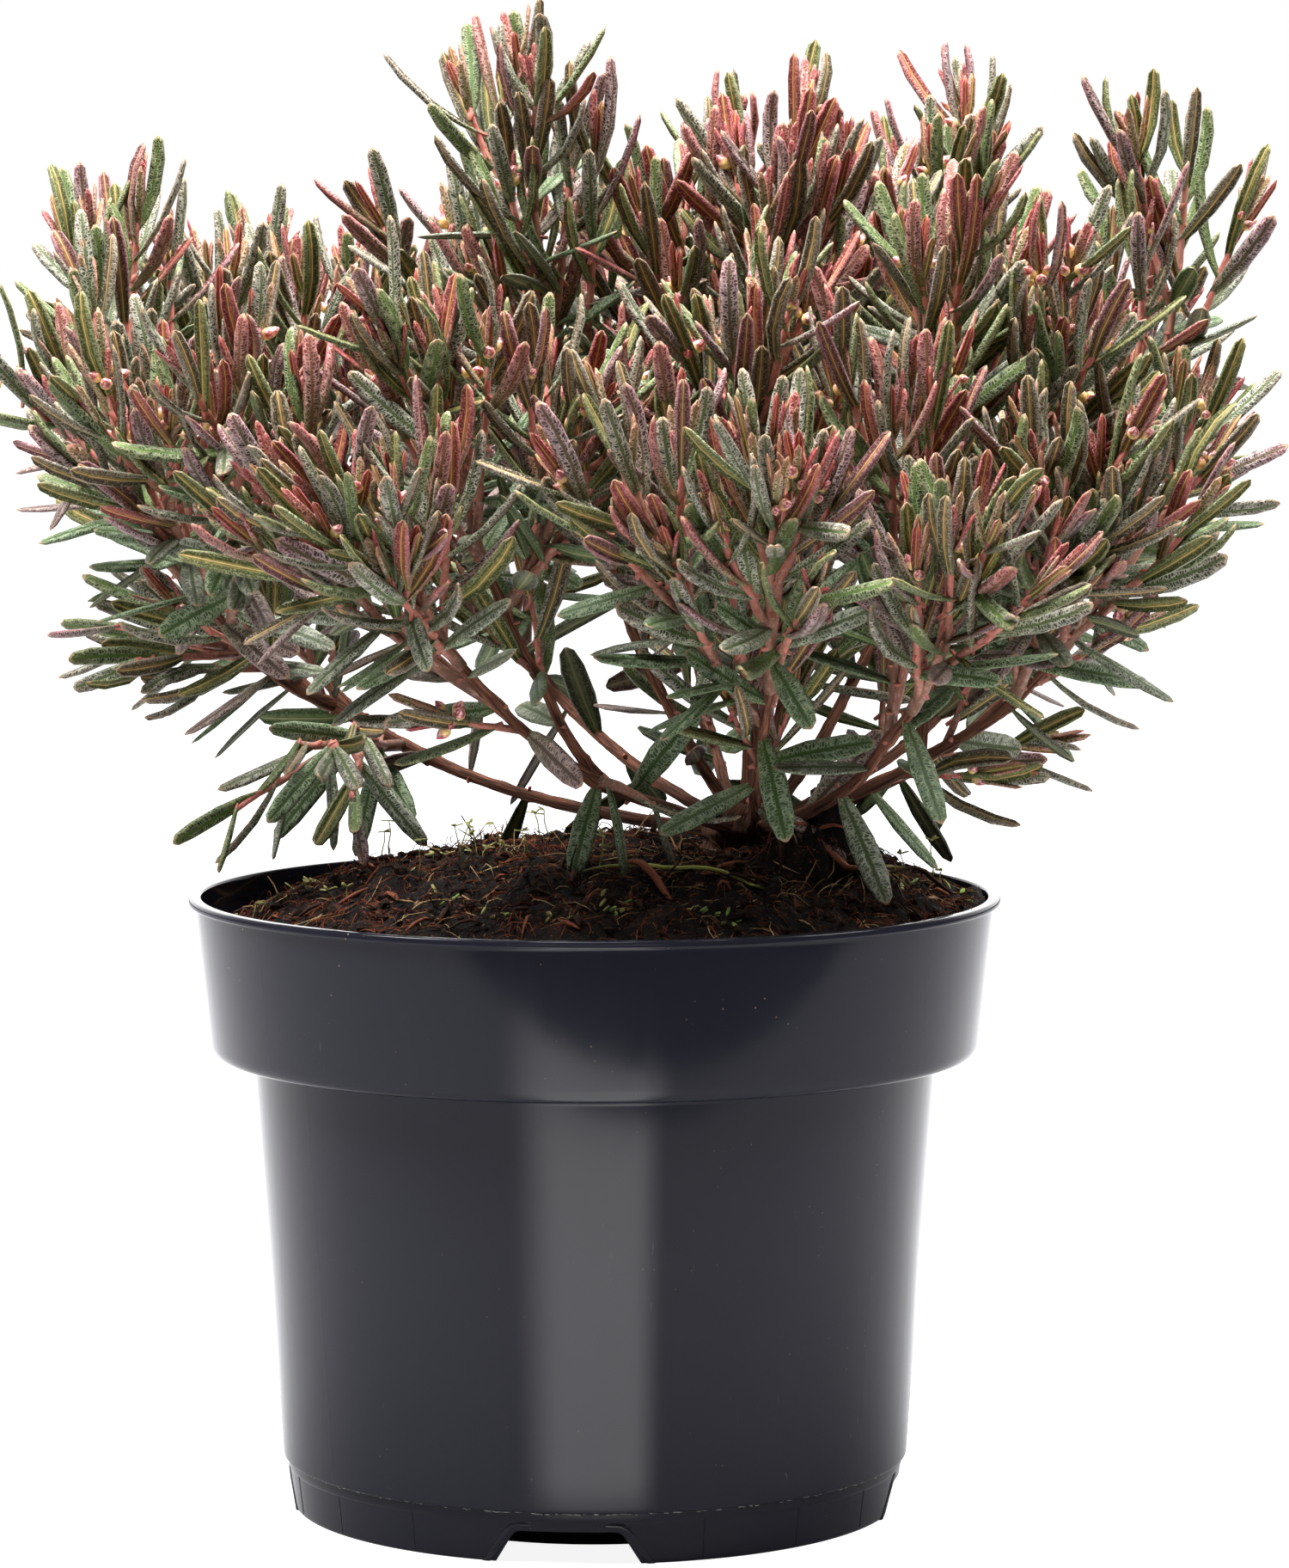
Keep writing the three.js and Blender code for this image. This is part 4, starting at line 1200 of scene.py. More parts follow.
class PLANT_OT_make_pot(bpy.types.Operator):
    """Turns the pot, cuts its notches and drain holes, and adds its borders, mould lines and flecks"""

    bl_idname = "bog_rosemary.make_pot"
    bl_label = "Make the pot"

    def execute(self, context):
        settings = context.scene.rosemary_pot
        plastic = pot_plastic(settings.plastic)
        pot = as_object(spun(supported(pot_section()), settings.segments), "nursery_pot")
        cut(pot, notch_cutters())
        cut(pot, drain_cutters())
        mesh = pot.data
        bpy.data.objects.remove(pot)
        bm = bmesh.new()
        bm.from_mesh(mesh)
        bmesh.ops.remove_doubles(bm, verts=bm.verts, dist=0.000002)
        bm.to_mesh(mesh)
        bm.free()
        mesh.materials.clear()
        mesh.shade_smooth()
        mesh.set_sharp_from_angle(angle=math.radians(35))
        finished(mesh, "nursery_pot", [plastic], ["pot"])
        trim = Joined()
        for i in range(NOTCH["count"]):
            notch_border(trim, NOTCH["first_heading"] + i * 360 / NOTCH["count"])
        mould_lines(trim)
        trim.piece("pot_foot_trim", [plastic], "pot")
        flecks = Joined()
        seam_flecks(flecks)
        flecks.piece("pot_seam_flecks", [seam_flecks_finish()], "pot", smooth=False)
        return {"FINISHED"}


# The peat.
def soil_height(x, y):
    """The height of the peat at a place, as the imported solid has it."""
    radius = POT["collar_bottom_radius"]
    from_right = (radius - x) / (2 * radius)
    edge = SOIL["right_height"] - (SOIL["right_height"] - SOIL["left_height"]) * from_right ** 3
    out = np.minimum(np.hypot(x, y) / SOIL["mound_radius"], 1)
    from_lump = np.hypot(x - SOIL["lump_x"], y - SOIL["lump_y"]) / SOIL["lump_radius"]
    lump = SOIL["lump_height"] * np.exp(-from_lump * from_lump)
    return edge + SOIL["mound_height"] * (1 - out ** 3) + lump


def clods(x, y):
    """The peat's own relief over its smooth height: clods, crumbs, grains and knobs."""
    place = Vector((x, y, 0))
    large, middle, small = (noise.noise(place / width + Vector(start)) for width, start, _ in CLODS)
    knobs = 0.0
    for knob_x, knob_y, radius, height in KNOBS:
        gap = math.hypot(x - knob_x, y - knob_y) / radius
        if gap < 1.6:
            knobs += height * max(1 - gap ** 3 / 2.2, 0) * (1 + 0.5 * small + 0.3 * middle)
    return sum(row[2] * part for row, part in zip(CLODS, (large, middle, small))) + knobs


def ground(x, y):
    return float(soil_height(x, y)) + clods(x, y)


def peat_surface():
    """The peat's rough top, closed by a skirt and a floor inside the pot."""
    radius = POT["collar_top_radius"] - SOIL["wall_gap"]
    rings, floor = SOIL["rings"], SOIL["floor"]
    section = [(radius * i / rings, 0) for i in range(rings + 1)]
    section.append((POT["collar_bottom_radius"] - 2, floor - soil_height(0, 0)))
    section.append((0, floor - soil_height(0, 0)))
    bm = spun([Vector(point) for point in section], SOIL["steps"])
    for vert in bm.verts:
        if vert.co.z > -MM:
            x, y = vert.co.x / MM, vert.co.y / MM
            vert.co.z = ground(x, y) * MM
        else:
            vert.co.z = floor * MM
    bmesh.ops.recalc_face_normals(bm, faces=bm.faces)
    return bm


def peat_place(draw, edge=2.5):
    """A random place on the peat, away from the wall."""
    radius = (POT["collar_top_radius"] - SOIL["wall_gap"] - edge) * math.sqrt(draw())
    heading = draw.between(0, 2 * math.pi)
    return radius * math.cos(heading), radius * math.sin(heading)


def keep_in_pot(points):
    """Draws points that lie beyond the wall back inside it."""
    limit = POT["collar_top_radius"] - 2.2
    out = np.hypot(points[:, 0], points[:, 1])
    scale = np.where(out > limit, limit / np.maximum(out, 1e-6), 1)
    low = points[:, 2] < POT["height"] + 1
    points[:, 0] *= np.where(low, scale, 1)
    points[:, 1] *= np.where(low, scale, 1)
    return points


def strand(joined, draw, foot, heading, length, radius, rise, curl, slot, flat=1.0, sides=3, rings=5):
    """A fibre, straw or chip that lies along the peat from its foot, bent sideways and up."""
    steps = np.linspace(0, 1, rings)
    bend = heading + curl * (steps - 0.5)
    stride = length / (rings - 1)
    xs = foot[0] + np.concatenate([[0], np.cumsum(np.cos(bend[1:]) * stride)])
    ys = foot[1] + np.concatenate([[0], np.cumsum(np.sin(bend[1:]) * stride)])
    limit = POT["collar_top_radius"] - 3
    out = np.maximum(np.hypot(xs, ys) / limit, 1)
    xs, ys = xs / out, ys / out
    zs = np.array([ground(x, y) for x, y in zip(xs, ys)])
    arch = rise * np.sin(math.pi * (0.15 + 0.85 * steps)) + radius * flat * 0.6
    smooth = np.convolve(np.pad(zs, 1, "edge"), [0.25, 0.5, 0.25], "valid")
    centres = np.stack([xs, ys, smooth + arch], axis=1)
    taper = radius * (1 - 0.55 * np.abs(2 * steps - 1) ** 3)
    forward = np.gradient(centres, axis=0)
    forward /= np.maximum(np.linalg.norm(forward, axis=1)[:, None], 1e-9)
    across = np.cross(forward, UP)
    across /= np.maximum(np.linalg.norm(across, axis=1)[:, None], 1e-9)
    over = np.cross(across, forward)
    turns = np.arange(sides) * 2 * math.pi / sides + draw.between(0, 2)
    sideways = across[:, None] * np.cos(turns)[None, :, None]
    upward = over[:, None] * (np.sin(turns) * -flat)[None, :, None]
    joined.add_tube(tube(sides, rings), centres[:, None] + taper[:, None, None] * (sideways - upward), slot)


def peat_fibres(count):
    """The mat of fibres: mostly red-brown, with some dark, some straw-pale and some orange rootlets."""
    joined, draw = Joined(), Draw(11)
    for _ in range(count):
        foot = peat_place(draw)
        mat = noise.noise(Vector((foot[0], foot[1], 40)) / 30) + (0.35 if foot[0] < -5 else -0.1)
        kinds = {"red": 0.35 + 3.4 * max(mat, 0), "dark": 1.9, "straw": 0.2, "root": 0.3}
        slot = ["red", "dark", "straw", "root"].index(draw.pick(kinds))
        length = draw.between(1.5, 6.5) if slot < 2 else draw.between(4, 13)
        radius = draw.between(0.07, 0.17)
        rise = draw.between(-0.2, 1.6) + (draw.between(0.5, 2.5) if draw() > 0.85 else 0)
        strand(joined, draw, foot, draw.between(0, 2 * math.pi), length, radius, rise,
               draw.between(-2.4, 2.4), slot, rings=4)
    finishes = [
        streaky_finish("fibre_red", tone(58, 28, 18), tone(144, 76, 48)),
        streaky_finish("fibre_dark", tone(5, 4, 4), tone(30, 21, 17)),
        streaky_finish("fibre_straw", tone(140, 112, 74), tone(206, 176, 130)),
        streaky_finish("fibre_root", tone(80, 44, 28), tone(150, 92, 58)),
    ]
    joined.piece("peat_fibres", finishes, "peat")


def peat_chips():
    """Bark chips and broken sticks, with a long green straw in front of the stems."""
    joined, draw = Joined(), Draw(23)
    for _ in range(LOOSE_CHIPS):
        foot = peat_place(draw, 8)
        slot = 0 if draw() > 0.6 else 1
        length = draw.between(3, 10)
        strand(joined, draw, foot, draw.between(0, 2 * math.pi), length, draw.between(0.3, 0.9),
               draw.between(0, 2.2), draw.between(-0.2, 0.2), slot, flat=0.6, sides=5, rings=4)
    for foot, heading, length, radius, rise, curl, slot, flat, rings in STICKS:
        strand(joined, draw, foot, math.radians(heading), length, radius, rise, curl, slot, flat, 6, rings)
    for _ in range(LOOSE_TWIGS):
        foot = peat_place(draw, 5)
        foot = np.array([foot[0], foot[1], ground(*foot) - 0.5])
        lean = np.array([draw.between(-1, 1), draw.between(-1, 1), draw.between(0.25, 1.1)])
        tip = keep_in_pot((foot + unit(lean) * draw.between(3, 11))[None])[0]
        course = Course(foot, tip, 0.5, draw.between(0.2, 0.8), 0.4, draw.between(0, 6))
        thick = draw.between(0.12, 0.3)
        add_stem(joined, course, [thick, thick, thick * 0.8, thick * 0.5], 4, 4, 1 if draw() > 0.4 else 3)
    finishes = [
        streaky_finish("chip_red", tone(84, 46, 34), tone(140, 84, 62)),
        streaky_finish("chip_dark", tone(26, 18, 15), tone(66, 44, 34)),
        streaky_finish("green_straw", tone(134, 140, 62), tone(192, 190, 110), 0.5, 14.0),
        streaky_finish("pale_stalk", tone(104, 76, 50), tone(168, 134, 92)),
    ]
    joined.piece("peat_chips", finishes, "peat")


def peat_crumbs(count):
    """Crumbs of peat and grit."""
    bm = bmesh.new()
    bmesh.ops.create_icosphere(bm, subdivisions=1, radius=1)
    ball = np.array([vert.co for vert in bm.verts])
    corners = np.array([loop.vert.index for face in bm.faces for loop in face.loops])
    sizes = np.full(len(bm.faces), 3)
    bm.free()
    flat_map = np.tile([[0.2, 0.2], [0.8, 0.2], [0.5, 0.8]], (len(sizes), 1))
    joined, draw = Joined(), Draw(37)
    for _ in range(count):
        x, y = peat_place(draw, 1.5)
        size = 0.35 + 1.4 * draw() ** 2.6
        jitter = np.array([1 + 0.45 * (draw() - 0.5) for _ in range(len(ball))])
        stretch = np.array([draw.between(0.7, 1.4), draw.between(0.7, 1.3), draw.between(0.5, 0.9)])
        turn = np.array(Matrix.Rotation(draw.between(0, 6.3), 3, "Z"))
        points = (ball * jitter[:, None] * stretch * size) @ turn
        points += (x, y, ground(x, y) + size * 0.25)
        joined.add(keep_in_pot(points), corners, sizes, 0 if draw() > 0.03 else 1, flat_map)
    finishes = [
        streaky_finish("crumb_dark", tone(12, 9, 8), tone(44, 29, 21), 0.9),
        streaky_finish("crumb_pale", tone(96, 74, 58), tone(142, 112, 88), 0.9),
    ]
    joined.piece("peat_crumbs", finishes, "peat", smooth=False)


def small_leaf(joined, draw, base, tilt, length, width, slot):
    """A small flat leaf that points away from its base at a random heading."""
    heading = draw.between(0, 2 * math.pi)
    flat = math.cos(tilt)
    way = np.array([math.cos(heading) * flat, math.sin(heading) * flat, math.sin(tilt)])
    side, over = square_to(way)
    turns = np.arange(6) * math.pi / 3
    widths = np.array([0.25, 0.95, 1.0, 0.4]) * width
    middles = base + way * (length * np.arange(4) / 3)[:, None]
    across = side * (widths[:, None, None] * np.cos(turns)[None, :, None])
    rings = middles[:, None] + across + over * (0.16 * np.sin(turns))[None, :, None]
    joined.add_tube(tube(6, 4), rings, slot, keep=keep_in_pot)


def peat_greenery():
    """Rosettes of liverwort, and seedlings with a few round leaves on a thin stalk."""
    joined, draw = Joined(), Draw(51)
    for centre in MOSS_PATCHES:
        for _ in range(int(draw.between(4, 9))):
            x, y = centre[0] + draw.between(-3.5, 3.5), centre[1] + draw.between(-3, 3)
            base = np.array([x, y, ground(x, y) + draw.between(0.2, 1.4)])
            small_leaf(joined, draw, base, draw.between(0.1, 0.9), draw.between(1.2, 2.8),
                       draw.between(0.6, 1.2), int(draw() > 0.5))
    for x, y in SEEDLINGS:
        for _ in range(2):
            x, y = x + draw.between(-2.5, 2.5), y + draw.between(-2.5, 2.5)
            foot = np.array([x, y, ground(x, y) - 0.5])
            tip = foot + (draw.between(-3, 3), draw.between(-3, 3), draw.between(3, 10))
            add_stem(joined, Course(foot, tip, 0.5, 0.6, 0.3, x), [0.2, 0.18, 0.16, 0.14], 4, 4, 1)
            for _ in range(int(draw.between(2, 5))):
                small_leaf(joined, draw, tip, draw.between(-0.2, 0.7), draw.between(1.6, 2.6),
                           draw.between(0.7, 1.1), 1)
    finishes = [
        moss_finish("moss_bright", tone(74, 100, 30), tone(128, 154, 56)),
        moss_finish("moss_olive", tone(92, 92, 40), tone(156, 152, 80)),
    ]
    joined.piece("peat_greenery", finishes, "peat")


class PLANT_OT_make_peat(bpy.types.Operator):
    """Lays the peat with its clods, fibres, chips, crumbs and small greenery"""

    bl_idname = "bog_rosemary.make_peat"
    bl_label = "Fill the pot with peat"

    def execute(self, context):
        settings = context.scene.rosemary_peat
        surface = as_object(peat_surface(), "peat_surface")
        mesh = surface.data
        bpy.data.objects.remove(surface)
        mesh.shade_smooth()
        finished(mesh, "peat_surface", [peat_finish(settings.peat)], ["peat"])
        peat_fibres(settings.fibres)
        peat_chips()
        peat_crumbs(settings.crumbs)
        peat_greenery()
        return {"FINISHED"}


# The plant's growth.
@dataclass
class Axis:
    """A shoot or twig that bears leaves: its course, its radii at foot and tip, and its age."""

    course: object
    foot_radius: float
    tip_radius: float
    age: int
    owner: str
    blush: float
    droop: float
    leafy: float
    open: float = 1.0


@dataclass
class Leaf:
    """A leaf in place: its root, its three directions, its sizes and its tint."""

    root: np.ndarray
    way: np.ndarray
    across: np.ndarray
    face: np.ndarray
    length: float
    half_width: float
    roll: float
    curl: float
    twist: float
    tint: str


class Space:
    CELL = 4.0

    def __init__(self):
        self.cells = {}

    def key(self, point):
        return tuple(int(math.floor(part / self.CELL)) for part in point)

    def fill(self, points, owner, radius):
        for point in points:
            self.cells.setdefault(self.key(point), []).append((point, owner, radius))

    def crowded(self, points, owner, radius):
        """Whether a point lies too near to one of another owner."""
        for point in points:
            i, j, k = self.key(point)
            for a in (i - 1, i, i + 1):
                for b in (j - 1, j, j + 1):
                    for c in (k - 1, k, k + 1):
                        for other, whose, size in self.cells.get((a, b, c), ()):
                            if whose == owner:
                                continue
                            gap = (size + radius) ** 2
                            dx, dy, dz = point[0] - other[0], point[1] - other[1], point[2] - other[2]
                            if dx * dx + dy * dy + dz * dz < gap:
                                return True
        return False


def tip_of(shoot):
    heading = math.radians(shoot.heading)
    x = CROWN["x"] + shoot.reach * math.cos(heading)
    return np.array([x, CROWN["y"] + shoot.reach * math.sin(heading), shoot.height])


def fork_of(bough, shoot):
    """How far along its bough a side shoot leaves it."""
    return shoot.at if shoot.at is not None else bough.bare * STEM["side_fork"]


def within_reach(point):
    inside_x = REACH["left"] < point[0] < REACH["right"]
    inside_y = REACH["front"] < point[1] < REACH["back"]
    return inside_x and inside_y and point[2] < REACH["top"]


class Plant:
    """The whole plant as courses and leaves, before anything is made solid."""

    def __init__(self, settings):
        self.scale = settings.leaf_scale
        self.bud_share = settings.bud_share
        self.space = Space()
        self.courses = self.lay_out_boughs()
        self.axes, self.leaves, self.buds = [], [], []
        self.shoots = self.lay_out_shoots()
        self.stations = self.axis_stations()
        for index, (shoot, course) in enumerate(self.shoots):
            self.grow_mass(shoot, course, Draw(settings.seed + index))
        for index, (bough, course) in enumerate(self.courses.values()):
            self.grow_sprouts(bough, course, Draw(settings.seed + 100 + index))
        for index, axis in enumerate(self.axes):
            draw = Draw(settings.seed + 200 + index)
            self.clothe(axis, draw)
            if axis.droop < 0.5 and draw() < self.bud_share * (0.5 + 0.6 * axis.blush):
                self.add_buds(axis, draw)

    def lay_out_boughs(self):
        head = np.array([CROWN["x"], CROWN["y"], CROWN["stem_foot"]], float)
        courses, pending = {}, list(BOUGHS)
        while pending:
            bough = pending.pop(0)
            if bough.parent and bough.parent not in courses:
                pending.append(bough)
                continue
            foot = courses[bough.parent][1].point(bough.at) if bough.parent else head
            phase = len(courses) * 1.9
            tip = tip_of(bough.shoots[0])
            course = Course(foot, tip, bough.flare, bough.lift, STEM["wander"], phase)
            courses[bough.name] = (bough, course)
            self.space.fill(course.point(np.linspace(0, bough.bare, 50)), "bough", STEM_ROOM)
        return courses

    def lay_out_shoots(self):
        shoots = []
        for bough, course in self.courses.values():
            for index, shoot in enumerate(bough.shoots):
                if index == 0:
                    shoots.append((shoot, Stretch(course, bough.bare, 1)))
                    continue
                foot, phase = course.point(fork_of(bough, shoot)), index * 2.1
                side = Course(foot, tip_of(shoot), SHOOT["flare"], SHOOT["lift"], SHOOT["wander"], phase)
                shoots.append((shoot, side))
        return shoots

    def axis_stations(self):
        places = np.linspace(0, 1, SHOOT["stations"] + 1)
        points = [course.point(places) for _, course in self.shoots]
        names = [shoot.name for shoot, _ in self.shoots for _ in places]
        return np.concatenate(points), names

    def in_own_space(self, point, name):
        points, names = self.stations
        gaps = ((points - point) ** 2).sum(axis=1)
        return names[int(gaps.argmin())] == name

    def grow_mass(self, shoot, course, draw):
        """A mass of foliage: its stem, the twigs that leave it by the golden angle, and spurs on these."""
        length = course.length()
        main = Axis(course, SHOOT["foot_radius"], SHOOT["tip_radius"], 2, shoot.name, shoot.blush,
                    shoot.droop, length * 0.92, shoot.open)
        self.place_axis(main)
        turn = 360 * draw()
        twigs = []
        for i in range(shoot.twigs):
            at = 0.04 + 0.74 * (i + draw() * 0.6) / max(shoot.twigs, 1)
            for _ in range(TRIES):
                turn += GOLDEN_ANGLE
                twig = self.twig_from(main, at, turn, draw, shoot.spread)
                if twig:
                    twigs.append(twig)
                    self.place_axis(twig)
                    break
        for twig in twigs + [main]:
            turn += GOLDEN_ANGLE
            if shoot.droop < 0.5 and draw() < SPUR["share"]:
                spur = self.spur_from(twig, turn, draw)
                if spur:
                    self.place_axis(spur)

    def place_axis(self, axis):
        self.axes.append(axis)
        count = max(int(axis.course.length() / 2.5), 3)
        self.space.fill(axis.course.point(np.linspace(0.05, 1, count)), axis, 1.0)

    def twig_from(self, main, at, turn, draw, spread):
        """A twig that leaves the stem and rises beside it, to a level of its own below the stem's tip."""
        course = main.course
        foot, along = course.point(at), course.tangent(at)
        chord = unit(course.point(1) - foot)
        away = leaning_from(along, turn, TWIG["angle"] + TWIG["angle_spread"] * draw())
        left = course.length() * (1 - at)
        rise = max(left * draw.between(0.42, 0.9), 10)
        lifted = UP * rise * 0.32 * (1 - 1.9 * main.droop)
        tip = foot + away * draw.between(10, spread) + chord * rise * 0.6 + lifted
        if not within_reach(tip + UP * TIP_MARGIN) or not self.in_own_space(tip, main.owner):
            return None
        twig_course = Course(foot, tip, TWIG["flare"], TWIG["lift"], TWIG["wander"], turn)
        if self.space.crowded(twig_course.point([0.5, 0.7]), main, STEM_ROOM):
            return None
        if self.space.crowded(twig_course.point([0.88, 1]), None, TUFT_ROOM):
            return None
        return Axis(twig_course, TWIG["foot_radius"], TWIG["tip_radius"], 1, main.owner,
                    main.blush, main.droop, twig_course.length() * 0.85, main.open)

    def spur_from(self, twig, turn, draw):
        """A short side shoot on a twig, which ends in a tuft of leaves."""
        at = draw.between(0.45, 0.8)
        foot, along = twig.course.point(at), twig.course.tangent(at)
        away = leaning_from(along, turn, SPUR["angle"])
        tip = foot + away * draw.between(7, 12) + UP * draw.between(4, 10)
        course = Course(foot, tip, 0.5, 0.3)
        crowded = self.space.crowded(course.point([1.0]), None, SPUR_ROOM)
        if crowded or not within_reach(tip + UP * TIP_MARGIN):
            return None
        blush = min(twig.blush + 0.1, 1)
        return Axis(course, SPUR["foot_radius"], SPUR["tip_radius"], 0, twig.owner, blush, twig.droop,
                    course.length() * 0.9)

    def grow_sprouts(self, bough, course, draw):
        """Short leafy twigs and single old leaves on the bare part of a bough."""
        length = course.length() * bough.bare
        turn = 360 * draw()
        for share in SPROUT["places"]:
            if draw() > SPROUT["share"]:
                continue
            for _ in range(TRIES):
                turn += GOLDEN_ANGLE
                at = bough.bare * (share + draw.between(-0.05, 0.05))
                foot, along = course.point(at), course.tangent(at)
                away = leaning_from(along, turn, SPROUT["angle"])
                tip = foot + away * draw.between(14, 24) + UP * draw.between(10, 26)
                sprout = Course(foot, tip, 0.5, 0.3, 0.3, turn)
                crowded = self.space.crowded(sprout.point([0.6, 1]), "bough", SPUR_ROOM)
                if crowded or not within_reach(tip + UP * TIP_MARGIN):
                    continue
                blush = bough.shoots[0].blush * 0.4
                self.place_axis(Axis(sprout, SPROUT["foot_radius"], SPROUT["tip_radius"], 1, bough.name,
                                     blush, 0.12, sprout.length() * 0.8))
                break
        below = 4.0
        while below < length * SPROUT["leafy_share"]:
            at = bough.bare * (1 - below / length)
            turn += GOLDEN_ANGLE + draw.between(-30, 30)
            stem = Axis(course, 1.5, 1.5, 2, "bough", 0, 0.25, 0)
            self.add_leaf(stem, at, turn, draw.between(*SPROUT["leaf_angle"]), BROAD, draw(), 60, draw)
            below += draw.between(*SPROUT["leaf_gap"])

    def clothe(self, axis, draw):
        """Leaves down an axis from its tip: a tuft of young ones, then fingers, then broad ones."""
        length = axis.course.length()
        turn = 360 * draw()
        spray = draw()
        below, index = 0.2, 0
        young = 0 if axis.droop > 0.4 else 3 + int(3 * draw())
        fingers_to = FINGERS_TO - 16 * axis.droop
        while below < axis.leafy:
            if index < young:
                kind, angle, (gap, growth) = YOUNG, draw.between(4, 24) + below * 3, YOUNG_GAP
            elif below < fingers_to:
                kind, angle, (gap, growth) = FINGER, 25 + below * 1.2 + draw.between(-16, 16), FINGER_GAP
            else:
                angle = min(44 + below * 0.4, 76) + draw.between(-14, 14)
                kind, (gap, growth) = BROAD, BROAD_GAP
            gap = (gap + below * growth) * (axis.open * (1 + axis.droop))
            for _ in range(LEAF_TRIES):
                turn += GOLDEN_ANGLE + draw.between(-10, 10)
                if self.add_leaf(axis, 1 - below / length, turn, angle, kind, spray, below, draw):
                    break
            below += gap * draw.between(0.8, 1.25)
            index += 1

    def tint_for(self, kind, axis, spray, draw):
        """The tint of a leaf: red where the crown's top blushes, green low down and inside."""
        blush = axis.blush * (0.6 + 0.8 * spray)
        if kind is YOUNG:
            return draw.pick({"young_red": 0.2 + 1.3 * blush, "young_pink": 1.1 - 0.5 * blush})
        if kind is FINGER:
            return draw.pick({
                "finger_green": 1.0 - 0.35 * blush,
                "finger_grey": 1.0 - 0.2 * blush,
                "finger_purple": 0.2 + 0.3 * blush,
                "finger_red": 0.8 * blush ** 1.6,
            })
        return draw.pick({"broad_green": 0.55, "broad_grey": 0.35, "broad_purple": 0.12 + 0.2 * spray})

    def add_leaf(self, axis, at, turn, angle, kind, spray, below, draw):
        along = axis.course.tangent(at)
        way = leaning_from(along, turn, min(angle, 88))
        sag = axis.droop * 0.7 + (0.2 if kind is BROAD else 0)
        way = unit(way - UP * sag * (1 if kind is not YOUNG else 0.3))
        root = axis.course.point(at)
        length = (kind.length + kind.length_spread * draw()) * self.scale
        if kind is FINGER and below < 6:
            length *= 0.70 + 0.05 * below
        half_width = kind.half_width + kind.width_spread * draw()
        half_width += WIDENING * max(below - 12, 0) if kind is not YOUNG else 0
        half_width = min(half_width, WIDEST)
        ends = [root + way * length * share for share in (0.35, 0.6, 0.85, 1.0)]
        if not within_reach(ends[-1]):
            return False
        if self.space.crowded(ends, axis, YOUNG_ROOM if kind is YOUNG else LEAF_ROOM):
            return False
        across = unit(cross(along, way))
        face = unit(cross(way, across))
        over = 180 if kind is not BROAD and draw() < TURNED_OVER else 0
        twist = math.radians(over + draw.between(-35, 35))
        self.space.fill(ends, axis, YOUNG_BODY if kind is YOUNG else LEAF_BODY)
        tint = self.tint_for(kind, axis, spray, draw)
        roll = min(max(kind.roll - 0.012 * max(below - 15, 0) + draw.between(-0.15, 0.15), 0), 1)
        curl = kind.curl + kind.curl_spread * draw.between(-1, 1)
        self.leaves.append(Leaf(root, way, across, face, length, half_width, roll, curl, twist, tint))
        return True

    def add_buds(self, axis, draw):
        """A cluster of stalked buds just under the tip of a shoot."""
        turn = 360 * draw()
        for _ in range(3 + int(3.5 * draw())):
            turn += GOLDEN_ANGLE
            at = 1 - draw.between(0.0, 3.0) / axis.course.length()
            way = leaning_from(axis.course.tangent(at), turn, draw.between(20, 75))
            self.buds.append((axis.course.point(at), way, draw.between(1.4, 3.4), draw.between(1.0, 1.6)))


@lru_cache(maxsize=None)
def grown_plant():
    return Plant(bpy.context.scene.rosemary_plant)


# The stems.
def bark_radii(course, foot_radius, tip_radius, rings, sides, end, seed, forks):
    """The radii of a woody stem: a taper with long fissures, leaf scars and swellings at its forks."""
    length = course.length() * end
    along = np.linspace(0, length, rings)
    radii = np.linspace(foot_radius, tip_radius, rings)
    radii = radii + BARK["flare"] * np.exp(-along / BARK["flare_length"])
    for fork in forks:
        radii += BARK["fork_swell"] * np.exp(-(((along - fork * length) / BARK["fork_length"]) ** 2))
    turns = np.arange(sides) * 2 * math.pi / sides
    surface = np.repeat(radii[:, None], sides, axis=1)
    for i in range(rings):
        for k in range(sides):
            spot = Vector((math.cos(turns[k]) * 1.6, math.sin(turns[k]) * 1.6, along[i] * 0.22 + seed * 9))
            surface[i, k] += BARK["fissure"] * noise.noise(spot) + BARK["crack"] * noise.noise(spot * 3.1)
    draw = Draw(seed + 300)
    turn, place = 360 * draw(), 4.0
    while place < length - 2:
        turn += GOLDEN_ANGLE
        gap = (turns - math.radians(turn) + math.pi) % (2 * math.pi) - math.pi
        near = np.exp(-(((along - place) / BARK["scar_length"]) ** 2))
        beside = np.exp(-((gap / BARK["scar_turn"]) ** 2))
        surface += BARK["scar"] * (near[:, None] * beside[None, :])
        place += draw.between(*BARK["scar_gap"])
    return surface


def woody_stems(plant):
    """The crown and its boughs in one mesh with the bark's relief."""
    joined = Joined()
    children = {}
    for bough, _ in plant.courses.values():
        if bough.parent:
            children.setdefault(bough.parent, []).append(bough.at)
        for shoot in bough.shoots[1:]:
            children.setdefault(bough.name, []).append(fork_of(bough, shoot))
    for index, (bough, course) in enumerate(plant.courses.values()):
        foot = bough.foot_radius or (STEM["fork_radius"] if bough.parent else STEM["foot_radius"])
        end, sides = bough.bare, STEM["sides"]
        rings = max(int(course.length() * end / STEM["ring_gap"]), 20)
        forks = [at / end for at in children.get(bough.name, [])]
        radii = bark_radii(course, foot, STEM["tip_radius"], rings, sides, end, index, forks)
        shape = tube(sides, rings)
        stretch = np.array([1.0, course.length() * end / 10])
        joined.add_tube(shape, rings_along(course, radii, sides, rings, end), 0, shape.map * stretch)
    add_crown(joined)
    nodes = [name for name in frame["nodes"] if name == "root_crown" or name.startswith("bough_")]
    joined.piece("woody_stems", [old_bark()], "bark", nodes)


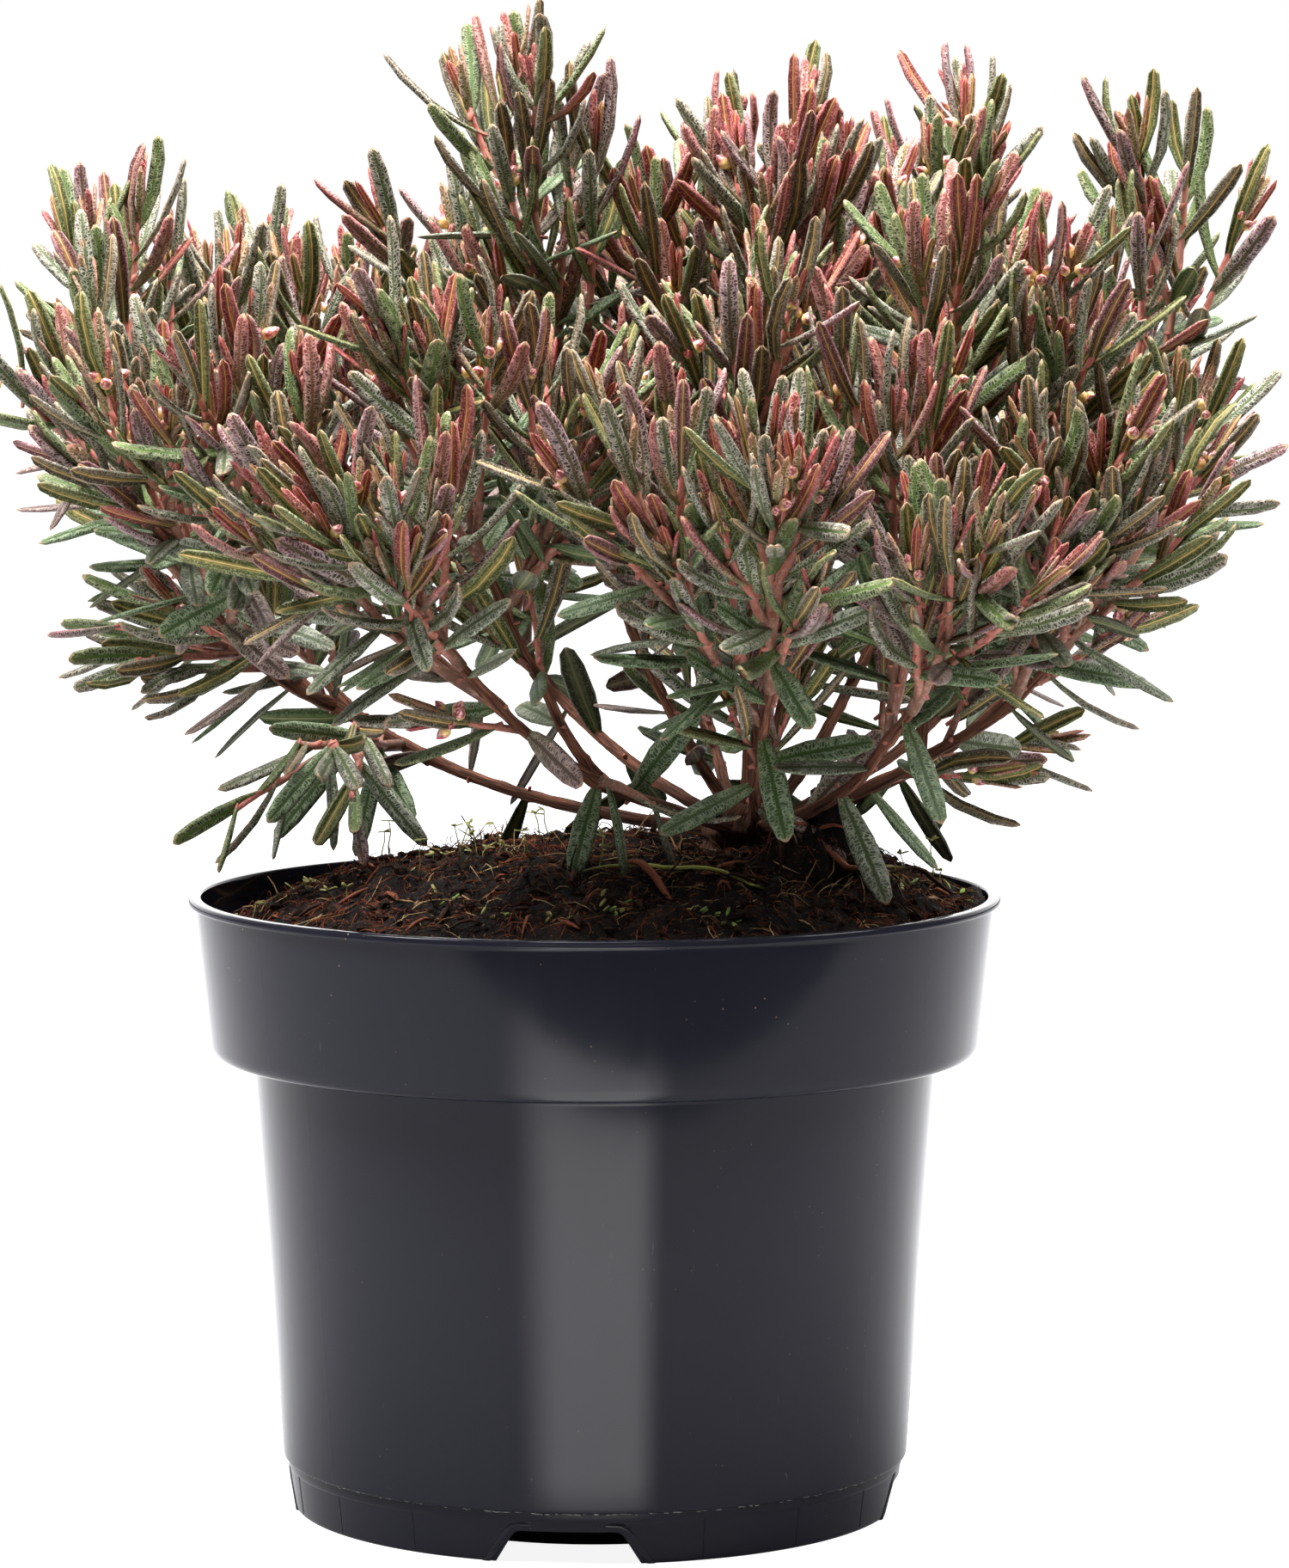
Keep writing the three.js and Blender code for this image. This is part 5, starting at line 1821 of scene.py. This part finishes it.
def add_crown(joined):
    """The knobbly woody crown: flared at its foot, waisted, with a head that the stems leave."""
    sides, rings = CROWN["sides"], CROWN["rings"]
    places = np.linspace(0, 1, len(CROWN_HEIGHTS))
    heights = np.interp(np.linspace(0, 1, rings), places, CROWN_HEIGHTS)
    radii = np.interp(np.linspace(0, 1, rings), places, CROWN_RADII)
    shape = tube(sides, rings)
    rows = []
    for z, radius in zip(heights, radii):
        lean = CROWN["lean"] * z / CROWN_HEIGHTS[-1]
        for k in range(sides):
            turn = 2 * math.pi * k / sides
            way = Vector((math.cos(turn), math.sin(turn), z / 9))
            bumps = 1
            for height, fineness in ((0.16, 2.2), (0.09, 6.3), (0.05, 15)):
                bumps += height * noise.noise(way * fineness)
            x = CROWN["x"] - CROWN["lean"] + lean + radius * bumps * math.cos(turn)
            y = CROWN["y"] + CROWN["depth"] * radius * bumps * math.sin(turn)
            rows.append((x, y, CROWN["foot"] + z))
    joined.add_tube(shape, rows, 0, shape.map * (3.0, 2.0))


def green_stems(plant):
    """The shoots, twigs and spurs that bear the leaves, and the stalks of the buds."""
    joined = Joined()
    for axis in plant.axes:
        length = axis.course.length()
        rings = max(4, min(int(length / 5), 18))
        steps = np.linspace(0, 1, rings)
        radii = axis.foot_radius + (axis.tip_radius - axis.foot_radius) * steps
        radii = radii + 0.10 * np.sin(np.arange(rings) * 2.4) * (1 - steps)
        add_stem(joined, axis.course, radii, 7, rings, 2 - axis.age)
    for root, way, length, _ in plant.buds:
        add_stem(joined, Course(root, root + way * length, 0.5, 0.5), [0.28, 0.22, 0.3], 4, 3, 2)
    joined.piece("green_stems", [young_bark(name) for name in YOUNG_BARKS], "bark")


class PLANT_OT_grow_stems(bpy.types.Operator):
    """Grows the crown, the boughs with their bark, and the shoots and twigs"""

    bl_idname = "bog_rosemary.grow_stems"
    bl_label = "Grow the stems"

    def execute(self, context):
        plant = grown_plant()
        woody_stems(plant)
        green_stems(plant)
        return {"FINISHED"}


# The leaves.
# A leaf's section, from its right roll over the top to its left one and back along the underside. The
# first of each pair is a flat leaf's and the second a rolled one's, in half widths.
SECTION = [
    ((0.86, -0.15), (0.62, -0.55)),
    ((1.00, -0.06), (0.98, -0.26)),
    ((0.84, 0.07), (0.86, 0.14)),
    ((0.42, 0.10), (0.44, 0.30)),
    ((0.00, -0.03), (0.00, 0.12)),
    ((-0.42, 0.10), (-0.44, 0.30)),
    ((-0.84, 0.07), (-0.86, 0.14)),
    ((-1.00, -0.06), (-0.98, -0.26)),
    ((-0.86, -0.15), (-0.62, -0.55)),
    ((-0.66, -0.07), (-0.36, -0.18)),
    ((0.00, -0.17), (0.00, -0.34)),
    ((0.66, -0.07), (0.36, -0.18)),
]
SECTION_TURNS = [0, 0.0625, 0.125, 0.1875, 0.25, 0.3125, 0.375, 0.4375, 0.5, 0.6, 0.75, 0.9, 1.0]
UNDERSIDE_FROM = 8

# The kinds of leaf: their sizes, how far along a leaf its rings lie, and its width there.
LEAF_PLACES = np.array([-0.09, 0.0, 0.15, 0.43, 0.76, 0.945, 1.0])
KINDS = {
    "broad": (BROAD, LEAF_PLACES, np.array([0.0, 0.14, 0.64, 1.0, 0.94, 0.60, 0.12])),
    "finger": (FINGER, LEAF_PLACES, np.array([0.0, 0.26, 0.72, 1.0, 1.0, 0.74, 0.20])),
    "young": (YOUNG, np.array([-0.06, 0.0, 0.35, 0.88, 1.0]), np.array([0.0, 0.40, 1.0, 0.80, 0.16])),
}


@lru_cache(maxsize=None)
def leaf_shape(rings):
    return Tube(len(SECTION), rings, SECTION_TURNS)


def leaf_points(leaf, places, widths):
    """The rings of one leaf: its rolled section, turned by its twist, drawn along an arc and narrowed."""
    flat = np.array([pair[0] for pair in SECTION])
    rolled = np.array([pair[1] for pair in SECTION])
    section = flat + (rolled - flat) * leaf.roll
    turns = np.arctan2(section[:, 1] + 0.1, section[:, 0])
    stalk = np.stack([np.cos(turns), np.sin(turns)], axis=1) * 0.45
    share = np.clip(places / 0.16, 0, 1)[:, None, None]
    blade = section[None] * (widths * leaf.half_width)[:, None, None]
    rings = stalk[None] * (1 - share) * np.where(places < 0.5, 1, 0)[:, None, None] + blade
    bend = leaf.curl * np.clip(places, 0, 1)
    arc = leaf.length / max(abs(leaf.curl), 1e-3) * np.sign(leaf.curl if leaf.curl else 1)
    forward = np.where(places > 0, arc * np.sin(bend), places * leaf.length)
    upward = np.where(places > 0, arc * (1 - np.cos(bend)), 0)
    spine = leaf.root + forward[:, None] * leaf.way + upward[:, None] * leaf.face
    inward = np.cos(bend)[:, None] * leaf.face - np.sin(bend)[:, None] * leaf.way
    sideways = leaf.across * math.cos(leaf.twist) + inward * math.sin(leaf.twist)
    normal = inward * math.cos(leaf.twist) - leaf.across * math.sin(leaf.twist)
    return spine[:, None] + rings[..., :1] * sideways[:, None] + rings[..., 1:] * normal[:, None]


def leaf_slots(shape):
    """The finish of each face of a leaf: 0 for its upper side, 1 for its underside and 2 for its stalk."""
    slots = np.where(shape.face_around >= UNDERSIDE_FROM, 1, 0)
    return np.where((shape.face_ring == 0), 2, slots)


def leaf_piece(tint_name, leaves):
    """The leaves of one tint, joined. The first word of a tint's name is its kind."""
    kind, places, widths = KINDS[tint_name.split("_")[0]]
    tint = TINTS[tint_name]
    shape = leaf_shape(len(places))
    slots = leaf_slots(shape)
    along = np.interp(shape.map[:, 1] * (len(places) - 1), range(len(places)), np.clip(places, 0, 1))
    corner_map = np.stack([shape.map[:, 0], along], axis=1)
    joined = Joined()
    for leaf in leaves:
        joined.add_tube(shape, leaf_points(leaf, places, widths), slots, corner_map)
    finishes = [
        leaf_upper(tint_name + "_upper", tint, kind),
        leaf_under(tint_name + "_under", tint, kind),
        leaf_stalk(tint_name + "_stalk", tint),
    ]
    nodes = [name for name in frame["nodes"] if name.startswith("foliage_")]
    joined.piece("leaves_" + tint_name, finishes, "foliage", nodes)


class PLANT_OT_grow_leaves(bpy.types.Operator):
    """Makes the leaves, each tint joined into a piece of its own"""

    bl_idname = "bog_rosemary.grow_leaves"
    bl_label = "Grow the leaves"

    def execute(self, context):
        plant = grown_plant()
        for name in TINTS:
            leaves = [leaf for leaf in plant.leaves if leaf.tint == name]
            if leaves:
                leaf_piece(name, leaves)
        return {"FINISHED"}


class PLANT_OT_grow_buds(bpy.types.Operator):
    """Makes the flower buds under the tips of the shoots"""

    bl_idname = "bog_rosemary.grow_buds"
    bl_label = "Grow the buds"

    def execute(self, context):
        joined, sides, rings = Joined(), 8, 6
        girth = np.sin(math.pi * np.clip(np.linspace(0, 1, rings), 0.03, 0.985) ** 0.72) ** 0.8
        for root, way, length, size in grown_plant().buds:
            middle = root + way * length
            course = Course(middle - way * size * 0.6, middle + way * size * 2.2, 0.5, 0.5)
            add_stem(joined, course, girth * size, sides, rings)
        joined.piece("flower_buds", [bud_finish()], "foliage")
        return {"FINISHED"}


# The stage.
CAMERA = {"x": 11.67, "y": -1395.7, "z": 301.9, "pitch": 5.415, "lens": 137.6, "sensor": 36}

# The soft boxes: where each stands and aims and its size, in metres, and its strength beside the key's.
LIGHTS = {
    "key_softbox": ((-1.0, -0.35, 1.6), (0.01, 0, 0.24), (0.5, 0.7), 1),
    "fill_softbox": ((1.2, -0.15, 1.4), (0.01, 0, 0.24), (0.6, 0.9), 0.5),
    "top_softbox": ((0.0, 0.1, 1.5), (0.01, 0, 0.2), (1.2, 1.2), 2.1),
}
LIGHT_GLOSS = 0.4

# The light from round about, from before the plant to behind it: its strength at both ends and where on Y
# each end lies. The first is what falls on surfaces and the second what glossy ones mirror.
AROUND = {"front": 0.015, "back": 0.31, "start": -0.50, "end": 0.25}
MIRRORED = {"front": 0.25, "back": 2.4, "start": 0.4, "end": 0.92}

# The floor's glowing strip that only glossy rays see, a painted reflection in the pot: headings in degrees,
# distances in metres.
GLOW_STRIP = {"left": (-29, -11), "right": (13, 25), "near": (0.05, 0.09), "far": (0.33, 0.41), "glow": 7.6}
FLOOR_GLOW = 0.9

# The black ring round the lit table, a painted dark reflection in the collar: sizes in millimetres, middle in
# metres.
SURROUND = {"inner": 1234, "outer": 3200, "height": 3, "middle": (-0.213, 0.795, 0)}


def add_light(name, place, aim, size, power):
    light = bpy.data.lights.new(name, "AREA")
    light.shape = "RECTANGLE"
    light.size, light.size_y = size
    light.energy = power
    light.specular_factor = LIGHT_GLOSS
    lamp = bpy.data.objects.new(name, light)
    lamp.location = place
    lamp.rotation_euler = (Vector(aim) - Vector(place)).to_track_quat("-Z", "Y").to_euler()
    bpy.context.collection.objects.link(lamp)


def studio_world():
    """Soft light from all round, brightest behind and beside the plant, as in a tent before a lit backdrop.

    The plastic mirrors it in full, and the leaves take less of it."""
    world = bpy.data.worlds.new("studio")
    bpy.context.scene.world = world
    world.use_nodes = True
    nodes, links = world.node_tree.nodes, world.node_tree.links
    background = nodes["Background"]

    def mixed(factor, first, second):
        mix = nodes.new("ShaderNodeMix")
        links.new(factor, mix.inputs[0])
        for socket, value in ((2, first), (3, second)):
            if isinstance(value, (int, float)):
                mix.inputs[socket].default_value = value
            else:
                links.new(value, mix.inputs[socket])
        return mix.outputs[0]

    def by_depth(front, back, start, end):
        ramp = nodes.new("ShaderNodeMapRange")
        ramp.interpolation_type = "SMOOTHSTEP"
        for socket, value in {"From Min": start, "From Max": end, "To Min": front, "To Max": back}.items():
            ramp.inputs[socket].default_value = value
        links.new(split.outputs["Y"], ramp.inputs["Value"])
        return ramp.outputs[0]

    place = nodes.new("ShaderNodeTexCoord")
    split = nodes.new("ShaderNodeSeparateXYZ")
    links.new(place.outputs["Generated"], split.inputs[0])
    seen = nodes.new("ShaderNodeLightPath")
    around = mixed(seen.outputs["Is Glossy Ray"], by_depth(**AROUND), by_depth(**MIRRORED))
    links.new(mixed(seen.outputs["Is Camera Ray"], around, 1.0), background.inputs["Strength"])
    background.inputs["Color"].default_value = (1, 1, 1, 1)


def studio_floor(colour):
    """A pale floor. A glowing strip on it before the pot, which only glossy rays see, paints a reflection
    that only shows in the plastic.
    """
    bm = bmesh.new()
    bmesh.ops.create_grid(bm, x_segments=8, y_segments=8, size=30)
    floor = as_object(bm, "studio_floor")
    finish = Finish("studio_floor", roughness=0.6, specular_ior_level=0.1, emission_strength=1.0)
    finish.colour(colour)
    x, y, _ = finish.parts(finish.place())
    before = -0.04 - y
    turn = finish.math("ARCTAN2", x - 0.001, before) * (180 / math.pi)
    far = 1 - finish.step(before, *GLOW_STRIP["far"]) * 0.35
    across = finish.step(turn, *GLOW_STRIP["left"]) * (1 - finish.step(turn, *GLOW_STRIP["right"]))
    # The strip glows for glossy rays only: a painted reflection in the pot.
    glow_strip = across * finish.step(before, *GLOW_STRIP["near"]) * far
    mirrored = finish.add("ShaderNodeLightPath", output="Is Glossy Ray")
    seen = finish.add("ShaderNodeLightPath", output="Is Camera Ray")
    glow = glow_strip * mirrored * GLOW_STRIP["glow"] + seen * FLOOR_GLOW
    finish.drive("Emission Color", finish.joined(glow, glow, glow))
    floor.data.materials.append(finish.material)


def black_surround():
    """A black ring round the lit table, hidden from the camera, from diffuse light and from shadows: it only
    shows as a painted dark reflection in the collar.
    """
    height = SURROUND["height"]
    bm = spun([Vector((SURROUND["inner"], height)), Vector((SURROUND["outer"], height))], 96)
    bmesh.ops.translate(bm, verts=bm.verts, vec=SURROUND["middle"])
    surround = as_object(bm, "black_surround")
    black = Finish("black_surround", roughness=0.9, base_color=(0.01, 0.01, 0.02, 1))
    surround.data.materials.append(black.material)
    surround.visible_camera = False
    surround.visible_diffuse = False
    surround.visible_shadow = False


class PLANT_OT_set_stage(bpy.types.Operator):
    """Sets the pale floor, the soft studio light and the camera"""

    bl_idname = "bog_rosemary.set_stage"
    bl_label = "Set the stage"

    def execute(self, context):
        settings = context.scene.rosemary_stage
        studio_floor(settings.floor)
        black_surround()
        studio_world()
        for name, (place, aim, size, share) in LIGHTS.items():
            add_light(name, place, aim, size, settings.key * share)
        camera = bpy.data.objects.new("camera", bpy.data.cameras.new("camera"))
        camera.data.lens = CAMERA["lens"]
        camera.data.sensor_width = CAMERA["sensor"]
        camera.location = (CAMERA["x"] * MM, CAMERA["y"] * MM, CAMERA["z"] * MM)
        camera.rotation_euler = (math.radians(90 - CAMERA["pitch"]), 0, 0)
        context.collection.objects.link(camera)
        context.scene.camera = camera
        context.scene.view_settings.view_transform = "Standard"
        return {"FINISHED"}


class PLANT_PT_sidebar(bpy.types.Panel):
    """Lists what the add-on makes"""

    bl_idname = "PLANT_PT_sidebar"
    bl_label = "Bog Rosemary"
    bl_space_type = "VIEW_3D"
    bl_region_type = "UI"
    bl_category = "Bog Rosemary"

    def draw(self, context):
        for group in (name for name, _ in SETTINGS):
            settings = getattr(context.scene, group)
            for name in settings.bl_rna.properties.keys():
                if name not in ("rna_type", "name"):
                    self.layout.prop(settings, name)
        for operator in MAKERS:
            self.layout.operator(operator.bl_idname)


SETTINGS = [
    ("rosemary_pot", PotSettings),
    ("rosemary_peat", PeatSettings),
    ("rosemary_plant", PlantSettings),
    ("rosemary_stage", StageSettings),
]
MAKERS = [
    PLANT_OT_set_stage,
    PLANT_OT_make_pot,
    PLANT_OT_make_peat,
    PLANT_OT_grow_stems,
    PLANT_OT_grow_leaves,
    PLANT_OT_grow_buds,
]


def register():
    for _, group in SETTINGS:
        bpy.utils.register_class(group)
    for operator in MAKERS:
        bpy.utils.register_class(operator)
    bpy.utils.register_class(PLANT_PT_sidebar)
    for name, group in SETTINGS:
        setattr(bpy.types.Scene, name, bpy.props.PointerProperty(type=group))


def unregister():
    for name, _ in SETTINGS:
        delattr(bpy.types.Scene, name)
    bpy.utils.unregister_class(PLANT_PT_sidebar)
    for operator in reversed(MAKERS):
        bpy.utils.unregister_class(operator)
    for _, group in SETTINGS:
        bpy.utils.unregister_class(group)


def write_sizes():
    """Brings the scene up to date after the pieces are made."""
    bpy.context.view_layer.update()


def main():
    register()
    bpy.ops.bog_rosemary.set_stage()
    bpy.ops.bog_rosemary.make_pot()
    bpy.ops.bog_rosemary.make_peat()
    bpy.ops.bog_rosemary.grow_stems()
    bpy.ops.bog_rosemary.grow_leaves()
    bpy.ops.bog_rosemary.grow_buds()
    write_sizes()


if __name__ == "__main__":
    main()
